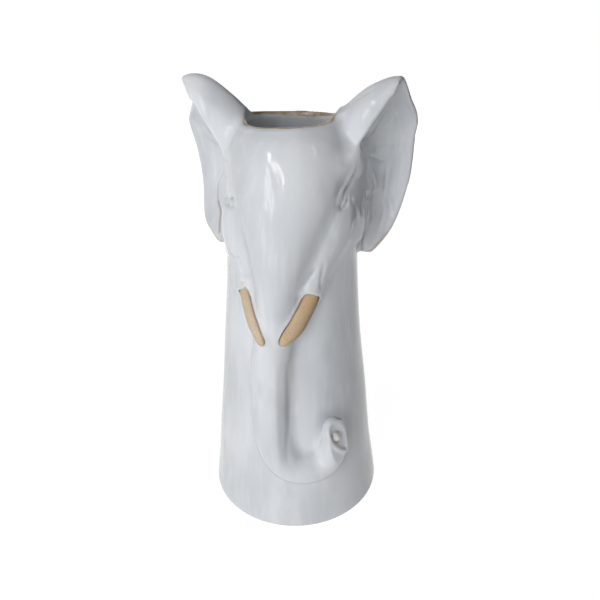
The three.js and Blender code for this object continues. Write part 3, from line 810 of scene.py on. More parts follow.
def besidePath(places, path):
    # Distance to a line through the points, and how far along it the nearest point is, 0 to 1.
    run = np.concatenate([[0], np.cumsum(np.linalg.norm(np.diff(path, axis=0), axis=1))])
    best = np.full(places.shape[:-1], 99.0)
    along = np.zeros(places.shape[:-1])
    for k, (a, b) in enumerate(zip(path, path[1:])):
        t = np.clip((places - a) @ (b - a) / ((b - a) @ (b - a)), 0, 1)
        distance = np.linalg.norm(places - a - t[..., None] * (b - a), axis=-1)
        along = np.where(distance < best, (run[k] + t * (run[k + 1] - run[k])) / run[-1], along)
        best = np.minimum(best, distance)
    return best, along


def pebble(places, centre, axes, halves):
    # Signed distance to an oval ball, near enough close to its surface.
    q = (places - centre) @ np.array(axes).T / np.array(halves)
    size = np.linalg.norm(q, axis=-1)
    slope = np.linalg.norm(q / np.array(halves), axis=-1)
    return np.clip(size * (size - 1) / np.maximum(slope, 1e-6), -9, 9)


def wallAxes(angle, z, tilt):
    # Along, across and out of the wall, turned by tilt degrees on it.
    a, t = math.radians(angle + float(faceTurn(z))), math.radians(tilt)
    out = np.array([math.sin(a), -math.cos(a), 0])
    side = np.array([math.cos(a), math.sin(a), 0])
    up = np.array([0, 0, 1.0])
    return [math.cos(t) * side + math.sin(t) * up, -math.sin(t) * side + math.cos(t) * up, out]


def blend(a, b, reach):
    # Smooth union: the joint is filled with a fillet of about this reach.
    h = np.clip(reach - np.abs(a - b), 0, None) / reach
    return np.minimum(a, b) - h * h * reach / 4


def carve(a, b, reach):
    h = np.clip(reach - np.abs(a + b), 0, None) / reach
    return np.maximum(a, -b) + h * h * reach / 4


def sample(array, places):
    # The grid's value between its points, at places counted in grid steps.
    i = np.clip(np.floor(places).astype(int), 0, np.array(array.shape) - 2)
    f = places - i
    shares = (1 - f, f)
    total = 0
    for a, b, c in np.ndindex(2, 2, 2):
        weight = shares[a][:, 0] * shares[b][:, 1] * shares[c][:, 2]
        total = total + weight * array[i[:, 0] + a, i[:, 1] + b, i[:, 2] + c]
    return total


def liftOf(solid, angle, z):
    # How far the modelled surface stands off the plain wall at a place.
    lifts = np.linspace(20, -4, 240)
    places = np.array([onWall(angle, z, lift) for lift in lifts]) / clay["voxel"] - clayLow
    inside = sample(solid, places) < 0
    return float(lifts[inside.argmax()])


print("forms: shaping the clay")
trunkLine, trunkRadius = trunkStations()
cheeks = {side: guideOnWall(cheekGuides[side], 60) for side in (1, -1)}
sheaths = {side: guideOnWall(cheekGuides[side], 60, tusk["sheathFrom"]) for side in (1, -1)}
sides = ((1, "left"), (-1, "right"))
forms = {
    "body": bodyForm(),
    "trunk": takeForm(sweepTube("trunk", trunkLine, trunkRadius, 40, 120)),
}
for side, word in sides:
    forms[word + "_ear"] = earForm(side)
    forms[word + "_cheek"] = takeForm(sweepTube(word + "Cheek", *cheeks[side], 28, 50))
    forms[word + "_tusk_sheath"] = takeForm(sweepTube(word + "Sheath", *sheaths[side], 28, 30))
    forms[word + "_bed"] = tuskForm(side, tusk["bed"], tusk["bedSunk"], word + "Bed")
wide = ("body", "left_ear", "right_ear")
away = {name: distanceTo(form, clay["wideBand" if name in wide else "band"]) for name, form in forms.items()}
sockets = {side: distanceTo(tuskForm(side, tusk["slip"], 0, "socket")) for side in (1, -1)}
print("forms: distances ready")

x, y, z = ((np.arange(n) + low) * clay["voxel"] for n, low in zip(clayShape, clayLow))
gridZ = z[None, None, :] + np.zeros(clayShape, np.float32)
gridX = x[:, None, None] - axisShift(gridZ)
gridY = y[None, :, None] + np.zeros(clayShape, np.float32)
gridRadius = np.hypot(gridX, gridY)
gridAngle = np.degrees(np.arctan2(gridX, -gridY)) - faceTurn(gridZ)
gridAngle = (gridAngle + 180) % 360 - 180


def shapeSnout():
    # The trunk's end is cut slantwise, its lip pinched up, and the nostril pressed in.
    corners, thickness, middle, axes = snoutFace()
    box, places = nearby(corners, 12)
    face = (places - middle) @ axes[2]
    away["trunk"][box] = np.maximum(away["trunk"][box], face)
    loop = smoothCurve(np.concatenate([corners, corners[:1]]), np.linspace(0, 1, 60))
    around = np.interp(np.linspace(0, 1, 60), np.linspace(0, 1, len(thickness) + 1), [*thickness, thickness[0]])
    distance, along = besidePath(places, loop)
    lip = distance - np.interp(along, np.linspace(0, 1, 60), around)
    tip = blend(away["trunk"][box], lip, smear["lip"])
    dish = middle + axes[2] * snout["hollowOut"] + (0, 0, snout["hollowUp"])
    tip = carve(tip, pebble(places, dish, axes, snout["hollow"]), cutEdge["snout"])
    centre = onWall(*snout["nostril"])
    tip = carve(tip, pebble(places, centre, axes, snout["nostrilHalves"]), cutEdge["nostril"])
    seed = pebble(places, centre - axes[2] * snout["seedSunk"], axes, snout["seedHalves"])
    away["trunk"][box] = np.minimum(tip, seed)


shapeSnout()
solid = blend(away["body"], away["trunk"], smear["trunk"])
for side, word in sides:
    solid = blend(solid, away[word + "_cheek"], smear["cheek"])
    solid = blend(solid, away[word + "_bed"], smear["bed"])
    # The ear's bowl runs smoothly into the temple, and meets the cheek in a crease lower down.
    smeared = smoothstep(gridZ, 186, 194) * (1 - smoothstep(gridZ, 214, 224)) * (1 - smoothstep(gridY, 10, 34))
    smeared = smear["leftBowl"] * smeared * (side > 0) + smear["earTop"] * smoothstep(gridZ, 195, 210)
    solid = blend(solid, away[word + "_ear"], smear["ear"] + smeared)
for depth, width, path in folds.values():
    path = smoothCurve(path, np.linspace(0, 1, 5 * len(path)))
    box, places = nearby(path, 3 * width)
    distance, along = besidePath(places, path)
    ends = np.sqrt(np.clip(1.02 * np.sin(np.pi * along), 0, 1))
    solid[box] += depth * ends * bell(distance / width)
for side, word in sides:
    angle, height, tilt = eye["place"][side]
    axes = wallAxes(angle, height, tilt)
    surface = onWall(angle, height, liftOf(solid, angle, height))
    box, places = nearby([surface])
    hollow = pebble(places, surface + axes[2] * 0.3, axes, eye["socket"][side])
    ball = pebble(places, surface - axes[2] * eye["sunk"][side], axes, eye["halves"][side])
    solid[box] = blend(carve(solid[box], hollow, cutEdge["eyeSocket"]), ball, smear["eye"])
    away[word + "_eye"] = np.full(clayShape, clay["far"], np.float32)
    away[word + "_eye"][box] = ball - 0.2  # so that the joint runs round its foot
    solid = carve(solid, sockets[side], cutEdge["tuskSocket"])
solid = carve(solid, distanceTo(cavityForm()), cutEdge["cavity"])
solid = carve(solid, distanceTo(recessForm()), cutEdge["recess"])

# Which node each bit of clay belongs to: the vessel inside its own wall, and elsewhere the nearest form.
nodes = [
    "vessel", "head", "trunk", "trunk_tip", "left_ear", "right_ear",
    "left_tusk_sheath", "right_tusk_sheath", "left_eye", "right_eye",
]
far = clay["far"]
within = lambda grid, low, high: (grid > low) & (grid < high)
inTip = within(gridZ, *snout["tipHeights"]) & within(gridAngle, *snout["tipAngles"])
onHead = within(gridAngle, -head["halfAngle"][-1], head["halfAngle"][1])
onHead &= within(gridZ, jawLine(gridAngle), rimHeight - 3)
face = np.minimum(np.minimum(away["left_cheek"], away["right_cheek"]), np.where(onHead, away["body"], far))
face = np.minimum(face, np.minimum(away["left_bed"], away["right_bed"]) + 0.3)
least = np.full(clayShape, np.inf, np.float32)
owner = np.zeros(clayShape, np.int16)
for number, node in enumerate(nodes, 1):
    if node == "vessel":
        mine = np.where(onHead, far, away["body"])
    elif node == "head":
        mine = face
    elif node.startswith("trunk"):
        mine = np.where(inTip == (node == "trunk_tip"), away["trunk"], far)
    else:
        mine = away[node] - (0.05 if node.endswith("sheath") else 0)
    owner[mine < least] = number
    least = np.minimum(least, mine)
owner[(gridRadius < wallRadius(gridZ)) & (gridZ < rimHeight + 3)] = nodes.index("vessel") + 1
owner[solid >= 0] = 0
for edge in (0, -1):
    owner[edge] = owner[:, edge] = owner[:, :, edge] = 0


otherAxes = [(1, 2), (2, 0), (0, 1)]


def untangle(label, other):
    # Where two corners of a grid square share a label only across its diagonal, one neighbour joins them,
    # so that no edge of a piece has four faces.
    changed = 0
    for axis in range(3):
        p, q = otherAxes[axis]
        corners = []
        for dp, dq in ((0, 0), (1, 0), (1, 1), (0, 1)):
            cut = [slice(None)] * 3
            cut[p] = slice(dp, label.shape[p] - 1 + dp)
            cut[q] = slice(dq, label.shape[q] - 1 + dq)
            corners.append(label[tuple(cut)])
        a, b, c, d = corners
        for first, last, target in ((a, c, d if other else b), (b, d, c if other else a)):
            bad = (first == last) & (b != a) & (c != b) & (c != d) & (d != a)
            changed += int(bad.sum())
            target[bad] = first[bad]
    return changed


for turn in range(1, clay["untangle"] + 1):
    if not untangle(owner, turn % clay["otherTurn"] == 0):
        break
nudge = 0.02  # mm to the right side of the surface
filled = (owner > 0) & (solid >= 0)
solid[filled] = -nudge
emptied = (owner == 0) & (solid < 0)
solid[emptied] = nudge
mended = int(filled.sum() + emptied.sum())
print("clay: blended,", int((owner > 0).sum()), "grid points inside,", mended, "mended")


def surfaceNet(distance, label):
    # One vertex in each cell that more than one label meets, and a quad across each grid edge
    # whose ends differ, so that neighbouring pieces share their joint exactly.
    corners = list(np.ndindex(2, 2, 2))
    at = lambda array, c: array[tuple(slice(o, n - 1 + o) for o, n in zip(c, array.shape))]
    first = at(label, (0, 0, 0))
    mixed = np.zeros(first.shape, bool)
    for c in corners[1:]:
        mixed |= at(label, c) != first
    cells = np.argwhere(mixed)
    number = np.full(first.shape, -1, np.int64)
    number[mixed] = np.arange(len(cells))
    outer = np.zeros((len(cells), 4))
    inner = np.zeros((len(cells), 4))
    for a in corners:
        for axis in range(3):
            if a[axis]:
                continue
            b = tuple(o + (k == axis) for k, o in enumerate(a))
            ia, ib = tuple((cells + a).T), tuple((cells + b).T)
            la, lb = label[ia], label[ib]
            da, db = distance[ia], distance[ib]
            split = la != lb
            skin = split & ((la == 0) | (lb == 0))
            t = np.where(skin, da / np.where(da == db, 1, da - db), 0.5)
            place = cells + np.array(a) + t[:, None] * (np.array(b) - np.array(a))
            row = np.concatenate([place, np.ones((len(cells), 1))], axis=1)
            outer[skin] += row[skin]
            inner[split & ~skin] += row[split & ~skin]
    onSkin = outer[:, 3] > 0
    total = np.where(onSkin[:, None], outer, inner)
    points = total[:, :3] / total[:, 3:]
    faces, sides = [], []
    for axis in range(3):
        low, high = [slice(1, -1)] * 3, [slice(1, -1)] * 3
        low[axis], high[axis] = slice(0, -1), slice(1, None)
        ends = np.eye(3, dtype=int)[axis]
        base = np.argwhere(label[tuple(low)] != label[tuple(high)]) + 1 - ends
        p, q = otherAxes[axis]
        ring = []
        for dp, dq in ((-1, -1), (0, -1), (0, 0), (-1, 0)):
            cell = base.copy()
            cell[:, p] += dp
            cell[:, q] += dq
            ring.append(number[tuple(cell.T)])
        faces.append(np.stack(ring, -1))
        sides.append(np.stack([label[tuple(base.T)], label[tuple((base + ends).T)]], -1))
    return points, onSkin, np.concatenate(faces), np.concatenate(sides)


def relaxed(points, faces, moving, strength=0.5):
    total = np.zeros((len(points), 3))
    count = np.zeros(len(points))
    for k in range(4):
        for other in (faces[:, (k + 1) % 4], faces[:, (k - 1) % 4]):
            np.add.at(total, faces[:, k], points[other])
            np.add.at(count, faces[:, k], 1)
    mean = total / np.maximum(count, 1)[:, None]
    return np.where(moving[:, None] & (count > 0)[:, None], points + strength * (mean - points), points)


def settle(points, distance, level=0.0):
    # Back on to the surface, or to a level under it, along its slope.
    for _ in range(2):
        here = sample(distance, points) - level
        slope = np.stack(
            [
                sample(distance, points + step) - sample(distance, points - step)
                for step in 0.5 * np.eye(3)
            ],
            -1,
        )
        points = points - slope * (here / np.maximum((slope ** 2).sum(1), 0.05))[:, None]
    return points


points, onSkin, faces, between = surfaceNet(solid, owner)
skin = (between == 0).any(1)
for turn in range(clay["relax"]):
    points = relaxed(points, faces[skin], onSkin)
    points[onSkin] = settle(points[onSkin], solid)
points = relaxed(points, faces[skin], onSkin, clay["lastRelax"])
for turn in range(clay["jointRelax"]):
    points = relaxed(points, faces[~skin], ~onSkin)
shallow = ~onSkin & (sample(solid, points) > -clay["jointDepth"])
points[shallow] = settle(points[shallow], solid, -clay["jointDepth"])
places = (points + clayLow) * clay["voxel"]


def cornerNormals(places, quads):
    # Area-weighted normals at the vertices.
    corner = places[quads]
    flat = np.cross(corner[:, 2] - corner[:, 0], corner[:, 3] - corner[:, 1])
    total = np.zeros_like(places)
    for k in range(4):
        np.add.at(total, quads[:, k], flat)
    return unit(total)


def curvature(places, reach):
    # How sharply the surface bends, more than nought at edges and less in creases, in 1/mm.
    points = places / clay["voxel"] - clayLow
    total = -6 * sample(solid, points)
    for step in np.eye(3) * reach / clay["voxel"]:
        total = total + sample(solid, points + step) + sample(solid, points - step)
    return total / reach ** 2


bend = curvature(places, clay["bendReach"])
for turn in range(3):
    bend = relaxed(np.repeat(bend[:, None], 3, axis=1), faces[skin], onSkin, 0.7)[:, 0]
level = places[:, 2]
around = np.hypot(places[:, 0] - axisShift(level), places[:, 1])
nearRim = smoothstep(level, rimHeight - 4, rimHeight - 1) * (1 - smoothstep(around, 29, 33))
lobe = (1 - smoothstep(level, 160, 178)) * smoothstep(around, 39, 43) * smoothstep(level, 150, 156)
creases = [
    smoothCurve(folds[name][2], np.linspace(start, 1, 30))
    for name, start in (("leftCrease", 0), ("rightLoopGroove", 0.55))
]
seat = np.minimum(*(sample(sockets[side], points) for side in (1, -1)))
fromPip = np.linalg.norm(places - onWall(*snout["nostril"]), axis=1)
fromCrease = np.minimum(*(besidePath(places, path)[0] for path in creases))
# Shares that the glaze reads: thin over edges; pooled in creases, with painted shade in its grey; a pinkish
# brown round the nostril and in the deepest creases, where its darker line is partly painted shade; the pale
# pip in the nostril; and the fringe where the glaze ends round each tusk.
marks = {
    "thin": smoothstep(bend, 0.18, 0.5) * np.clip(nearRim + 0.35 * lobe + 0.04, 0, 1),
    # Painted shade, in part: the pooled grey darkens concave creases as shade would.
    "poolAndShade": smoothstep(-bend, 0.08, 0.8),
    # Painted shade, in part: the darker brown line along the deepest ear creases stands in for their shade.
    "blushAndShade": np.maximum(bell(fromCrease / 1.1), 0.6 * bell(fromPip / 6)),
    "pip": 1 - smoothstep(fromPip, 2.2, 3.0),
    "fringe": 1 - smoothstep(seat, 0.3, 1.3),
}
outward = np.where(between[:, :1] > 0, faces, faces[:, ::-1])
skinNormal = cornerNormals(places, outward[skin])
print("clay: skinned,", len(points), "vertices and", len(faces), "faces")


def cutFaces(own, quads, normal):
    # Each four-sided face as two triangles, cut so that both halves face outward.
    cuts = []
    for first, second in (((0, 1, 2), (0, 2, 3)), ((1, 2, 3), (1, 3, 0))):
        halves = np.stack([quads[:, first], quads[:, second]], 1)
        corner = own[halves]
        flat = unit(np.cross(corner[:, :, 1] - corner[:, :, 0], corner[:, :, 2] - corner[:, :, 0]))
        cuts.append((halves, (flat * normal[halves].mean(2)).sum(2).min(1)))
    better = cuts[1][1] > cuts[0][1]
    return np.where(better[:, None, None], cuts[1][0], cuts[0][0]).reshape(-1, 3)


# Where the vessel's wall is plain, so that it keeps its shape with fewer faces. Lengths in mm.
plainWall = {
    "lift": 1.5,  # it stands off the turned wall by less than this
    "inside": 4,  # or lies deeper than this, in the mouth
    "headFrom": 150,
    "behind": (-28, 6),  # and begins this far back, below the head and beside it
    "belowRim": 5,
    "foot": (9, 40),  # above the foot's rounding, or inside this radius
    "deep": 2,  # a joint this deep in the clay is plain as well
}


def onPlainWall(own, hidden, depth):
    w = plainWall
    level = own[:, 2]
    radius = np.hypot(own[:, 0] - axisShift(level), own[:, 1])
    wall = wallRadius(level)
    behind = own[:, 1] > np.where(level < w["headFrom"], *w["behind"])
    plain = (radius < wall + w["lift"]) & behind | (radius < wall - w["inside"])
    footHeight, footRadius = w["foot"]
    plain &= (level < rimHeight - w["belowRim"]) & ((level > footHeight) | (radius < footRadius))
    return plain | hidden & (depth > w["deep"])


def clayPiece(number, node):
    mine = (between == number).any(1)
    quads = np.where((between[mine, 1] == number)[:, None], faces[mine][:, ::-1], faces[mine])
    used, compact = np.unique(quads, return_inverse=True)
    quads = compact.reshape(-1, 4)
    own = places[used]
    normal = np.where(onSkin[used][:, None], skinNormal[used], cornerNormals(own, quads))
    mesh = bpy.data.meshes.new(node)
    triangles = cutFaces(own, quads, normal)
    mesh.from_pydata((own * mm).tolist(), [], triangles.tolist())
    mesh.attributes.new("smooth", "FLOAT_VECTOR", "POINT").data.foreach_set("vector", normal.ravel())
    for name, values in marks.items():
        mesh.attributes.new(name, "FLOAT", "POINT").data.foreach_set("value", values[used])
    piece = onScene(node + "_clay", mesh)
    if len(triangles) > clay["mostFaces"]:
        plain = onPlainWall(own, ~onSkin[used], -sample(solid, points[used]))
        print("vessel:", int(plain.sum()), "of", len(own), "vertices on the plain wall")
        group = piece.vertex_groups.new(name="plainWall")
        group.add(np.flatnonzero(plain).tolist(), 1.0, "REPLACE")
        thin = piece.modifiers.new("thin", "DECIMATE")
        thin.vertex_group = "plainWall"
        thin.vertex_group_factor = 100
        thin.ratio = clay["mostFaces"] / len(triangles)
        graph = bpy.context.evaluated_depsgraph_get()
        piece.data = bpy.data.meshes.new_from_object(piece.evaluated_get(graph))
        piece.modifiers.clear()
    mesh = piece.data
    normal = np.zeros(3 * len(mesh.vertices))
    mesh.attributes["smooth"].data.foreach_get("vector", normal)
    normal = unit(normal.reshape(-1, 3))
    mesh.attributes.remove(mesh.attributes["smooth"])
    mesh.shade_smooth()
    mesh.normals_split_custom_set_from_vertices(normal.tolist())
    return piece


pieces = {}
for number, node in enumerate(nodes, 1):
    pieces[node] = clayPiece(number, node)
    print("piece:", node, len(pieces[node].data.polygons), "faces")


def srgb(code):
    parts = [int(code[k : k + 2], 16) / 255 for k in (0, 2, 4)]
    return [c / 12.92 if c <= 0.04045 else ((c + 0.055) / 1.055) ** 2.4 for c in parts] + [1]


def newMaterial(name):
    material = bpy.data.materials.new(name)
    material.use_nodes = True
    material.node_tree.nodes.clear()
    return material, material.node_tree


def glossGlaze():
    # Milky feldspar gloss glaze, dipped: glassy, with soft clouds and runs, greyer where it pools in creases, a
    # grey that is partly painted shade, and broken to tan where it drew thin over the scraped rim.
    material, tree = newMaterial("glossGlazeOnStoneware")
    place = addNode(tree, "ShaderNodeTexCoord")
    mark = {}
    for name in marks:
        mark[name] = addNode(tree, "ShaderNodeAttribute", {"attribute_name": name}).outputs["Fac"]
    # Clouds in the glaze: how many to a metre, how far drawn out down the wall, detail and roughness.
    clouds = {
        "milk": (34, 0.45, 2, 0.5),  # 26 mm across
        "runs": (210, 0.12, 3, 0.6),  # 5 mm apart
        "drift": (75, 0.5, 2, 0.5),
        "spots": (160, 1, 3, 0.5),
        "swell": (95, 0.35, 2, 0.5),
    }
    cloud = {}
    for name, (scale, stretch, detail, rough) in clouds.items():
        drawn = addNode(tree, "ShaderNodeMapping", Vector=place.outputs["Object"], Scale=(1, 1, stretch))
        cloud[name] = addNode(
            tree, "ShaderNodeTexNoise", Vector=drawn, Scale=scale, Detail=detail, Roughness=rough
        )
    uneven = addNode(tree, "ShaderNodeMapRange", Value=cloud["spots"], From_Min=0.3, From_Max=0.6, To_Min=0.35)
    broken = addNode(tree, "ShaderNodeMath", {"operation": "MULTIPLY"}, _0=mark["thin"], _1=uneven)
    # Each tint: what brings it, from where to where it comes in, and its colour.
    tints = [
        (cloud["milk"], 0.34, 0.68, "dfe2e6"),
        (cloud["runs"], 0.45, 0.95, "e6e8eb"),
        (cloud["drift"], 0.5, 1.0, "c2c5ca"),
        # Painted shade, in part: pooled grey in the creases.
        (mark["poolAndShade"], 0.0, 1.3, "a3a8ae"),
        # Painted shade, in part: brown line in the deepest creases, pinkish brown round the nostril.
        (mark["blushAndShade"], 0.0, 1.6, "927a74"),
        (mark["fringe"], 0.1, 1.6, "a78f70"),
        (mark["pip"], 0.0, 1.1, "efe9df"),
        (mark["thin"], 0.0, 0.6, "cdc2b2"),
        (broken, 0.2, 0.9, "a58a64"),
    ]
    colour = srgb("cfd3d8")
    for amount, start, full, code in tints:
        share = addNode(
            tree, "ShaderNodeMapRange", {"interpolation_type": "SMOOTHSTEP"}, Value=amount,
            From_Min=start, From_Max=full,
        )
        colour = addNode(
            tree, "ShaderNodeMix", {"data_type": "RGBA"}, _0=share, _6=colour, _7=srgb(code)
        ).outputs[2]
    ripple = addNode(
        tree, "ShaderNodeMath", {"operation": "MULTIPLY_ADD"}, _0=cloud["runs"], _1=0.45, _2=cloud["swell"]
    )
    bump = addNode(tree, "ShaderNodeBump", Height=ripple, Strength=1.0, Distance=0.00022)
    shader = addNode(
        tree, "ShaderNodeBsdfPrincipled", Base_Color=colour, Roughness=0.07, IOR=1.5, Normal=bump
    )
    addNode(tree, "ShaderNodeOutputMaterial", Surface=shader)
    return material


def bareClay():
    # Unglazed fired stoneware: dry and matt, pale to darker tan, with fine grog specks half a millimetre wide;
    # the darker tan towards the sleeve is painted shade.
    material, tree = newMaterial("bareStoneware")
    place = addNode(tree, "ShaderNodeTexCoord")
    # Painted shade: this attribute browns the tusks towards the sleeve that shades them.
    tanAndShade = addNode(tree, "ShaderNodeAttribute", {"attribute_name": "tanAndShade"})
    body = addNode(tree, "ShaderNodeTexNoise", Vector=place.outputs["Object"], Scale=150, Detail=4)
    grit = addNode(tree, "ShaderNodeTexNoise", Vector=place.outputs["Object"], Scale=1400, Detail=2)
    browning = addNode(
        tree, "ShaderNodeMath", {"operation": "MULTIPLY_ADD"},
        _0=body, _1=0.5, _2=tanAndShade.outputs["Fac"],
    )
    shadedTan = addNode(
        tree, "ShaderNodeMix", {"data_type": "RGBA"}, _0=browning, _6=srgb("d3c1ab"), _7=srgb("bd965f")
    )
    speck = addNode(tree, "ShaderNodeMapRange", Value=grit, From_Min=0.58, From_Max=0.7, To_Max=0.5)
    colour = addNode(
        tree, "ShaderNodeMix", {"data_type": "RGBA"},
        _0=speck, _6=shadedTan.outputs[2], _7=srgb("9a7b57"),
    )
    bump = addNode(tree, "ShaderNodeBump", Height=grit, Strength=0.5, Distance=0.0002)
    shader = addNode(
        tree, "ShaderNodeBsdfPrincipled", Base_Color=colour.outputs[2], Roughness=0.82, IOR=1.45,
        Normal=bump,
    )
    addNode(tree, "ShaderNodeOutputMaterial", Surface=shader)
    return material


glaze = glossGlaze()
clayMaterial = bareClay()
for side, word in sides:
    path, half = guideOnWall(tuskGuides[side], 70)
    piece = sweepTube(word + "_tusk_clay", path, half, 36, 90, clayMaterial)
    shape = np.array([v.co for v in piece.data.vertices]) / mm
    shape = flattened(shape, path, side) * mm
    piece.data.vertices.foreach_set("co", shape.ravel())
    # The left tusk is browner all over, and both are browner towards the sleeve, which is painted shade from
    # the sleeve.
    up = (shape[:, 2] / mm - 125) / 30
    tanAndShade = np.clip((0.12 if side > 0 else -0.25) + 0.35 * up ** 2, -0.2, 1)
    piece.data.attributes.new("tanAndShade", "FLOAT", "POINT").data.foreach_set("value", tanAndShade)
    piece.data.shade_smooth()
    pieces[word + "_tusk"] = piece

for node, piece in pieces.items():
    bare = node.endswith("_tusk")
    piece.data.materials.clear()
    piece.data.materials.append(clayMaterial if bare else glaze)
    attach(piece, "root")
    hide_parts(node)

camera = {
    "azimuth": 14.0,  # degrees round from the front, towards the elephant's left
    "distance": 310.8,  # mm from the vase's axis
    "height": 282.8,
    "pitch": 26.7,
    "roll": 1.1,
    "yaw": 0.66,
    "lens": 35.95,
}


def outFrom(turn, rise=0.0):
    # The direction from the vase to something on the stage, by degrees round from the front and up.
    a, e = math.radians(turn), math.radians(rise)
    return Vector((math.sin(a) * math.cos(e), -math.cos(a) * math.cos(e), math.sin(e)))


def placeCamera():
    c = camera
    a = math.radians(c["azimuth"])
    forward = -outFrom(c["azimuth"], c["pitch"])
    right = Vector((math.cos(a), math.sin(a), 0))
    up = right.cross(forward)
    turn = Matrix((right, up, -forward)).transposed()
    turn = turn @ Matrix.Rotation(math.radians(-c["yaw"]), 3, "Y")
    turn = turn @ Matrix.Rotation(math.radians(-c["roll"]), 3, "Z")
    data = bpy.data.cameras.new("camera")
    data.lens = c["lens"]
    data.sensor_width = 36
    data.clip_start = 0.01
    data.clip_end = 20
    eyePoint = onScene("camera", data)
    reach, level = c["distance"], c["height"] * mm
    eyePoint.location = (math.sin(a) * reach * mm, -math.cos(a) * reach * mm, level)
    eyePoint.rotation_mode = "QUATERNION"
    eyePoint.rotation_quaternion = turn.to_quaternion()
    scene.camera = eyePoint


stage = {
    "windowTurn": -15.0,  # degrees round from the front, towards the elephant's right
    "windowRise": 29.0,
    "windowSize": (0.66, 1.05),
    "windowAway": 1.5,
    "windowPower": 3.8,
    "skyRise": 16.0,
    # What of the window shows in the gloss, between branches: across, up and size in metres, roll, power.
    "panes": [
        (0.02, 0.17, (0.86, 0.09), -38, 1.5),
        (-0.30, -0.04, (0.035, 0.95), 2, 0.7),
        (-0.17, -0.20, (0.09, 0.62), -3, 0.8),
        (-0.04, -0.27, (0.05, 0.50), 3, 0.4),
        (0.08, -0.35, (0.08, 0.40), -2, 0.5),
        (1.05, 0.25, (0.07, 0.14), -20, 0.12),
    ],
    # Soft white walls, and a white sheet low in front: turn, rise, distance and power.
    "fills": [
        (-45, 8, 1.4, 4.8), (45, 8, 1.4, 2.3), (-15, 8, 1.4, 1.2), (175, 15, 1.4, 4.0), (-8, -10, 0.6, 0.5),
    ],
    "fillShape": (0.5, 0.36),  # width and height as shares of the distance
    "roomLight": (62, 40, 1.6, (0.12, 0.4), 0.6),
    "aimHeight": 0.16,
    "room": 0.06,
    "floorGlow": (0.955, 1.0),  # beside the foot, and far from it
    "glowReach": (0.15, 0.8),
    "floorShade": [0.26, 0.26, 0.26, 1],  # how much of the shadow shows
    "felt": [0.06, 0.06, 0.065, 1],  # the dark card's cloth
    "cardTurn": 140.0,
    "cardSize": 0.8,
    "cardAway": 0.55,
    "cardHeight": 0.3,
}


def seenDirectly(tree):
    # One for rays that show the surroundings themselves: the camera, mirrors and glass.
    path = addNode(tree, "ShaderNodeLightPath")
    seen = path.outputs["Is Camera Ray"]
    for ray in ("Is Glossy Ray", "Is Transmission Ray"):
        seen = addNode(tree, "ShaderNodeMath", {"operation": "MAXIMUM"}, _0=seen, _1=path.outputs[ray])
    return seen


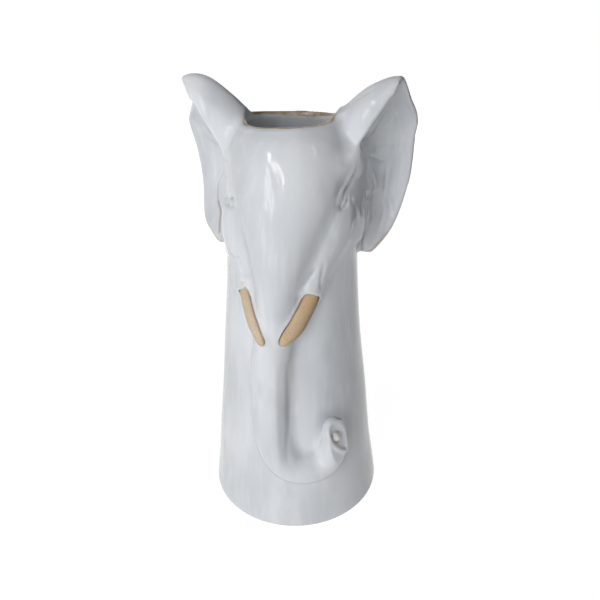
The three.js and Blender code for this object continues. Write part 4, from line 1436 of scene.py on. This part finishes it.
def stageFloor():
    bpy.ops.mesh.primitive_plane_add(size=8, location=(0, 0, 0))
    floor = bpy.context.object
    floor.name = "floor"
    material, tree = newMaterial("paleTable")
    table = addNode(tree, "ShaderNodeBsdfDiffuse", Color=srgb("efefef"))
    shade = addNode(tree, "ShaderNodeBsdfDiffuse", Color=stage["floorShade"])
    spot = addNode(tree, "ShaderNodeTexCoord")
    reach = addNode(tree, "ShaderNodeVectorMath", {"operation": "LENGTH"}, Vector=spot.outputs["Object"])
    near, far = stage["glowReach"]
    low, high = stage["floorGlow"]
    level = addNode(
        tree, "ShaderNodeMapRange", Value=reach.outputs["Value"],
        From_Min=near, From_Max=far, To_Min=low, To_Max=high,
    )
    glow = addNode(tree, "ShaderNodeEmission", Color=srgb("ffffff"), Strength=level)
    both = addNode(tree, "ShaderNodeAddShader", _0=shade, _1=glow)
    mix = addNode(tree, "ShaderNodeMixShader", _0=seenDirectly(tree), _1=table, _2=both)
    addNode(tree, "ShaderNodeOutputMaterial", Surface=mix)
    floor.data.materials.append(material)
    floor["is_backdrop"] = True


def areaLamp(name, turn, rise, distance, size, power, roll=0):
    data = bpy.data.lights.new(name, "AREA")
    data.shape = "RECTANGLE"
    data.size, data.size_y = size
    data.energy = power
    lamp = onScene(name, data)
    out = outFrom(turn, rise)
    lamp.location = Vector((0, 0, stage["aimHeight"])) + out * distance
    lamp.rotation_mode = "QUATERNION"
    lamp.rotation_quaternion = out.to_track_quat("Z", "Y") @ Quaternion((0, 0, 1), math.radians(roll))
    return lamp


def shadeCard():
    # A dark card beside the object keeps that flank grey, as in a room with one window.
    out = outFrom(stage["cardTurn"])
    place = out * stage["cardAway"] + Vector((0, 0, stage["cardHeight"]))
    bpy.ops.mesh.primitive_plane_add(size=stage["cardSize"], location=place)
    card = bpy.context.object
    card.name = "shadeCard"
    card.rotation_mode = "QUATERNION"
    card.rotation_quaternion = out.to_track_quat("Z", "Y")
    material, tree = newMaterial("blackFelt")
    felt = addNode(tree, "ShaderNodeBsdfDiffuse", Color=stage["felt"])
    addNode(tree, "ShaderNodeOutputMaterial", Surface=felt)
    card.data.materials.append(material)
    card.visible_camera = False
    card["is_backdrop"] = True


def daylight():
    world = bpy.data.worlds.new("room")
    world.use_nodes = True
    tree = world.node_tree
    tree.nodes.clear()
    room = addNode(tree, "ShaderNodeBackground", Color=srgb("e6eaef"), Strength=stage["room"])
    white = addNode(tree, "ShaderNodeBackground", Color=srgb("ffffff"), Strength=1.0)
    mix = addNode(tree, "ShaderNodeMixShader", _0=seenDirectly(tree), _1=room, _2=white)
    addNode(tree, "ShaderNodeOutputWorld", Surface=mix)
    scene.world = world
    s = stage
    for pane, (across, up, size, roll, power) in enumerate(s["panes"]):
        turn = s["windowTurn"] + math.degrees(across / s["windowAway"])
        lift = math.degrees(up / s["windowAway"])
        areaLamp("window" + str(pane), turn, s["windowRise"] + lift, s["windowAway"], size, power, roll)
    sky = areaLamp("sky", s["windowTurn"], s["skyRise"], s["windowAway"], s["windowSize"], s["windowPower"])
    sky.visible_glossy = False
    for turn, rise, distance, power in s["fills"]:
        size = [share * distance for share in s["fillShape"]]
        fill = areaLamp("fill", turn, rise, distance, size, power)
        fill.visible_glossy = False  # no second window in the gloss
    areaLamp("roomLight", *s["roomLight"])
    shadeCard()


placeCamera()
stageFloor()
daylight()
scene.view_settings.view_transform = "Standard"
print("stage: ready")

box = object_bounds()
